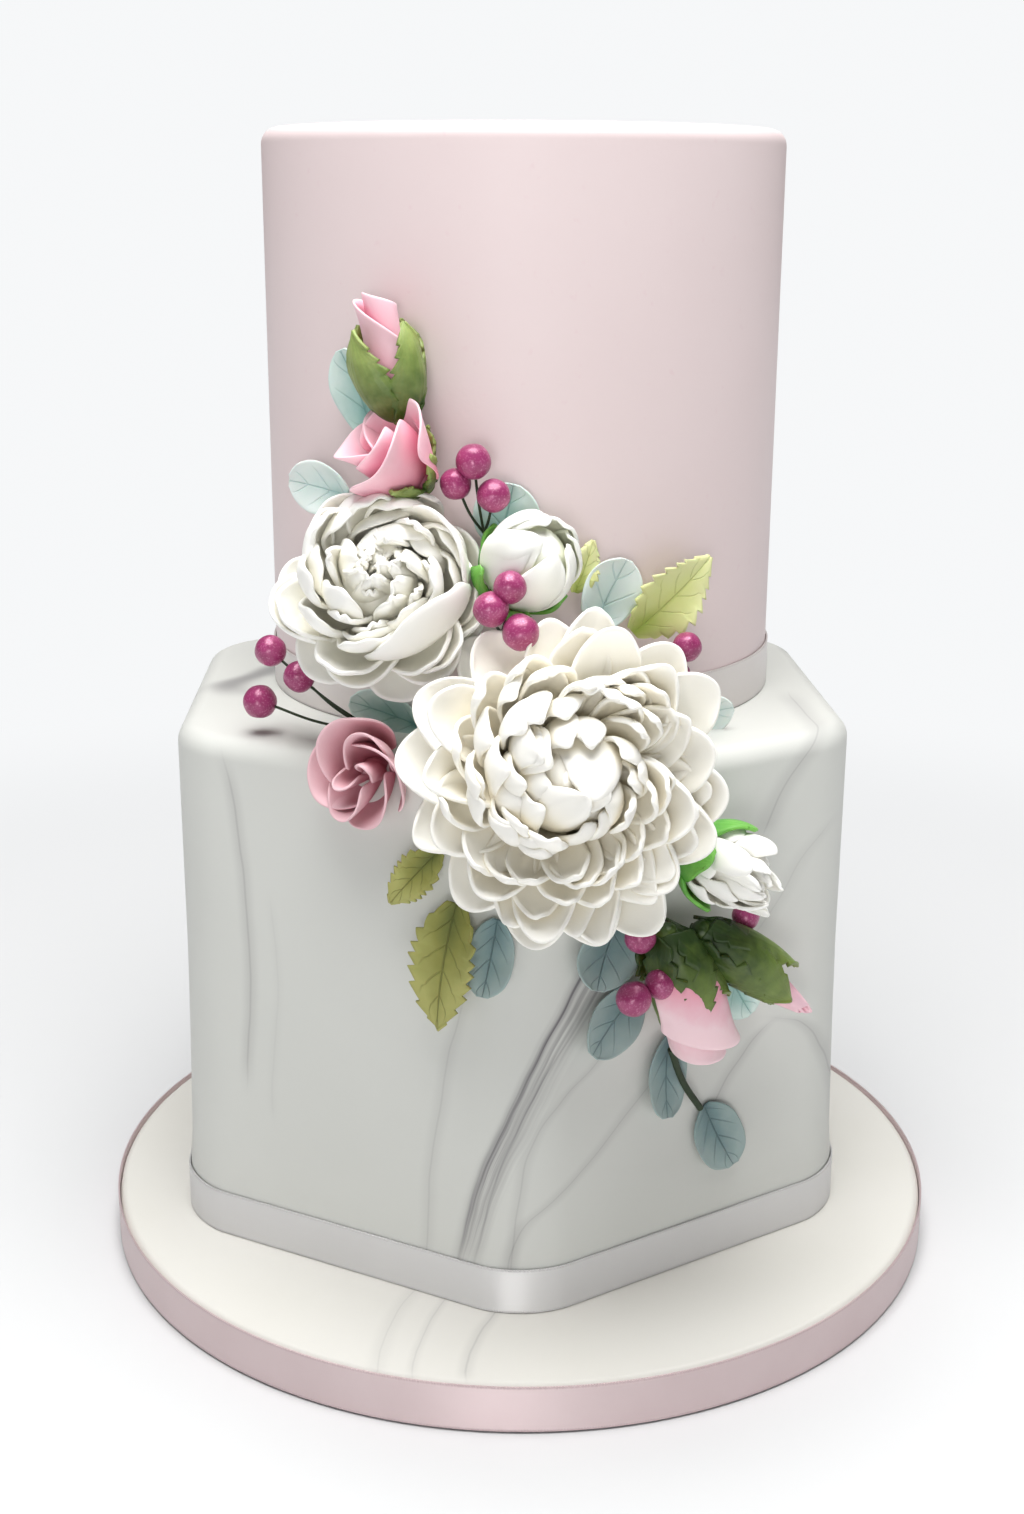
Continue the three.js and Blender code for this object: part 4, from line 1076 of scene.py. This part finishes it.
for cluster, _, spots in BERRIES:
    for i, (x, y, z, r) in enumerate(spots):
        fruit = copy_of(ball, f"sugar_berry_{cluster}_{i + 1}")
        for point in fruit.data.vertices:
            place = point.co
            lump = 0.025 * math.sin(5 * place.x + i) * math.cos(4 * place.y + 2 * x)
            squat = 1.06 if place.z < 0 else 0.94
            point.co = Vector((place.x, place.y, place.z * squat)) * (r * MM * (1 + lump))
        fruit.data.transform(facing([x, y, z], [0.3, 0.5, -0.6 + 0.4 * i]))
        for face in fruit.data.polygons:
            face.use_smooth = True
        set_down(fruit, f"berry_{cluster}_{i + 1}", "berry", berry_paste)
bpy.data.objects.remove(ball)


# Wires and stem
# Thin dark green paper-covered wire. Each cluster's wires are twisted together where they
# meet behind the flowers. The lowest leaf hangs from a bare, thicker stem.
wire_paper = new_finish("florist_wire", 0.7)
paper = noise(wire_paper, own_place(wire_paper), 500.0, 3.0)
paper_tint = blend_colour(wire_paper, paper, colour("34452A"), colour("1C2417"))
wire_up(wire_paper, paper_tint, paper, 0.4, 0.3 * MM)


def bent_wire(name, points, thick):
    """A smooth wire through points of the cake, in mm, made a mesh with shut ends."""
    bpy.ops.curve.primitive_bezier_curve_add(location=(0, 0, 0))
    strand = bpy.context.object
    strand.name = name
    spline = strand.data.splines[0]
    spline.bezier_points.add(len(points) - 2)
    for knot, point in zip(spline.bezier_points, points):
        knot.co = on_cake(point)
        knot.handle_left_type = knot.handle_right_type = "AUTO"
    strand.data.bevel_depth = thick / 2 * MM
    strand.data.bevel_resolution = 3
    strand.data.use_fill_caps = True
    bpy.ops.object.convert(target="MESH")
    bpy.ops.object.shade_smooth_by_angle(angle=math.radians(50))
    return bpy.context.object


for cluster, meet, spots in BERRIES[:5]:
    strands = []
    for i, (x, y, z, r) in enumerate(spots):
        half = ((x + meet[0]) / 2, (y + meet[1]) / 2 - 1, (z + meet[2]) / 2 - 1.5)
        way = Vector(half) - Vector((x, y, z))
        start = Vector((x, y, z)) + way.normalized() * (r - 0.6)
        strands.append(bent_wire(f"strand_{i}", [tuple(start), half, meet], 0.9))
    bundle = join(f"wire_bundle_{cluster}", strands)
    set_down(bundle, f"wires_{cluster}", "florist_wire", wire_paper)
stem = bent_wire("bare_stem", [(53, -92, 103), (58, -86, 88), (64.5, -81, 76)], 2.4)
set_down(stem, "stem", "florist_wire", wire_paper)


# Leaves
# Round eucalyptus leaves and saw-edged ones, rolled thin, pressed in a veiner and dusted:
# the round ones from aqua at the base to white at the rim, the others lime above and olive
# below. Each is tucked under a flower, close to the cake.
FRONT_CORNER = HEX_TURN - math.radians(90)
CORNER_OUT = HEX_R - HEX_ROUND / math.cos(math.radians(30))
FLAT_OUT = HEX_R * math.cos(math.radians(30))
CORNER_HALF = 15 * MM


def front_at(x, z):
    """The cake's front at a place across and a height: its y there, and the way it faces."""
    if z > HEX_TOP:
        aside = x - TIER_X
        y = -math.sqrt(TIER_R**2 - aside**2)
        return TIER_Y + y, Vector((aside, y, 0)).normalized()
    aside = x - HEX_X - CORNER_OUT * math.cos(FRONT_CORNER)
    if abs(aside) < CORNER_HALF:
        y = -math.sqrt(HEX_ROUND**2 - aside**2)
        return HEX_Y + CORNER_OUT * math.sin(FRONT_CORNER) + y, Vector((aside, y, 0)).normalized()
    side = FRONT_CORNER + math.copysign(math.radians(30), aside)
    y = HEX_Y + (FLAT_OUT - math.cos(side) * (x - HEX_X)) / math.sin(side)
    return y, Vector((math.cos(side), math.sin(side), 0))


def lying_at(x, z, clear, bearing, lift):
    """Lays a leaf on the cake with its tip towards a bearing, tipped out from the surface."""
    x, _, z = on_cake((x, 0, z))
    y, out = front_at(x, z)
    bearing, lift = math.radians(bearing), math.radians(lift)
    along = Vector((0, 0, 1)).cross(out) * math.cos(bearing) + Vector((0, 0, math.sin(bearing)))
    tipped = along * math.cos(lift) + out * math.sin(lift)
    up = (out - tipped * out.dot(tipped)).normalized()
    side = up.cross(tipped)
    place = Matrix.Translation(Vector((x, y, z)) + out * (clear * MM))
    return place @ Matrix((tipped, side, up)).transposed().to_4x4()


def leaf_paste(name, rim, middle, base, veins, pairs):
    """Dusted leaf paste with a pressed midrib and side veins, on the leaf's own UV map."""
    finish = new_finish(name, 0.6, Specular_IOR_Level=0.3, Subsurface_Weight=0.08)
    shader = finish.node_tree.nodes["Principled BSDF"]
    shader.inputs["Subsurface Scale"].default_value = 1.5 * MM
    across, along = own_map(finish)
    off = apart(finish, across, 0.5)
    midrib = between(finish, off, 0.022, 0.004)
    slant = minus(finish, along, times(finish, off, 0.55))
    beat = math_node(finish, "FRACT", times(finish, slant, pairs))
    from_line = apart(finish, beat, 0.5)
    inside = between(finish, off, 0.42, 0.25, kind="LINEAR")
    side_vein = times(finish, between(finish, from_line, 0.07, 0.01), inside)
    pressed = math_node(finish, "MAXIMUM", midrib, times(finish, side_vein, 0.6))
    dust = noise(finish, own_place(finish), 120.0, 4.0)
    share = sum_of(finish, [along, times(finish, off, 1.1), times(finish, dust, 0.6)])
    share = minus(finish, share, 0.35)
    paste = three_colours(finish, share, (0.05, 0.5, 1.0), (base, middle, rim))
    tint = blend_colour(finish, times(finish, pressed, 0.55), paste, colour(veins))
    wire_up(finish, tint, minus(finish, times(finish, dust, 0.15), pressed), 0.7, 0.5 * MM)
    return finish


aqua_leaf = leaf_paste("aqua_leaf", "E3EEEA", "CFE2DD", "8FBFBA", "A2C6C4", 4)
# The sea and teal pastes are darker copies of the aqua one, for leaves under the flowers and the
# lowest ones: partly a deeper tone of their own, partly painted shade.
sea_leaf = leaf_paste("sea_leaf", "CFE2DC", "9AC0B9", "4F8982", "6E9F99", 4)
teal_leaf = leaf_paste("teal_leaf", "9DAFAD", "7B9394", "566F73", "52686D", 5)
lime_paste = leaf_paste("lime_leaf", "DDE0A6", "D2D98C", "AFC258", "A9B35E", 5)
olive_paste = leaf_paste("olive_leaf", "ABAA66", "8A8B47", "5E6530", "5C5F2B", 5)
OVAL = {"neck": 0, "peak": 0.56, "end": 0, "oval": 2.1, "wave": 0.6, "fold": 0.06, "rim": 0.2}
TOOTHED = {"neck": 0.25, "peak": 0.4, "end": 0.04, "teeth": 0.24, "saws": 9, "wave": 0.9}
TOOTHED["fold"] = 0.12
LEAVES = [
    ("blue_leaf_1", (-43, 296, 3, 112, 4), 30, 19, sea_leaf),
    ("blue_leaf_2", (-50, 277, 6, 172, 6), 24, 18, aqua_leaf),
    ("blue_leaf_3", (-4, 262, 2, 78, 3), 22, 22, sea_leaf),
    ("blue_leaf_4", (26, 236, 3, 66, 4), 25, 20, aqua_leaf),
    ("blue_leaf_5", (50, 200, 3, 20, 30), 24, 16, aqua_leaf),
    ("blue_leaf_6", (-30, 202, 3, 165, 6), 25, 15, sea_leaf),
    ("blue_leaf_7", (-3, 156, 3, -100, 2), 27, 16, teal_leaf),
    ("blue_leaf_8", (33, 152, 3, -112, 3), 25, 25, teal_leaf),
    ("blue_leaf_9", (41, 126, 3, -138, 4), 28, 22, teal_leaf),
    ("blue_leaf_10", (51, 106, 3, -92, 3), 30, 16, teal_leaf),
    ("blue_leaf_11", (65, 75, 2, -64, 4), 28, 20, teal_leaf),
    ("blue_leaf_12", (72, 122, 2, -60, 2), 20, 17, sea_leaf),
    ("lime_leaf_1", (38, 234, 4, 42, 4), 36, 24, lime_paste),
    ("lime_leaf_2", (20, 248, 2, 72, 3), 18, 11, lime_paste),
    ("olive_leaf_1", (-20, 176, 4, -130, 6), 26, 15, olive_paste),
    ("olive_leaf_2", (-14, 160, 5, -98, 3), 44, 25, olive_paste),
]
oval_blank = flat_blank(10, 14)
saw_blank = flat_blank(16, 72)
for k, (node, spot, long, wide, finish) in enumerate(LEAVES):
    round_one = node.startswith("blue")
    made = copy_of(oval_blank if round_one else saw_blank, node + "_pressed")
    low, high, cup = (-10, 10, 25) if round_one else (15, -15, 20)
    shape_blade(made, OVAL if round_one else TOOTHED, long, wide, low, high, cup, phase=k)
    leaf = gather(node + "_pressed", [made], lying_at(*spot), 0.8, 1 if round_one else 0)
    slot = "eucalyptus" if round_one else node.rsplit("_", 1)[0]
    set_down(leaf, node, slot, finish)
bpy.data.objects.remove(oval_blank)
bpy.data.objects.remove(saw_blank)


low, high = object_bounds()
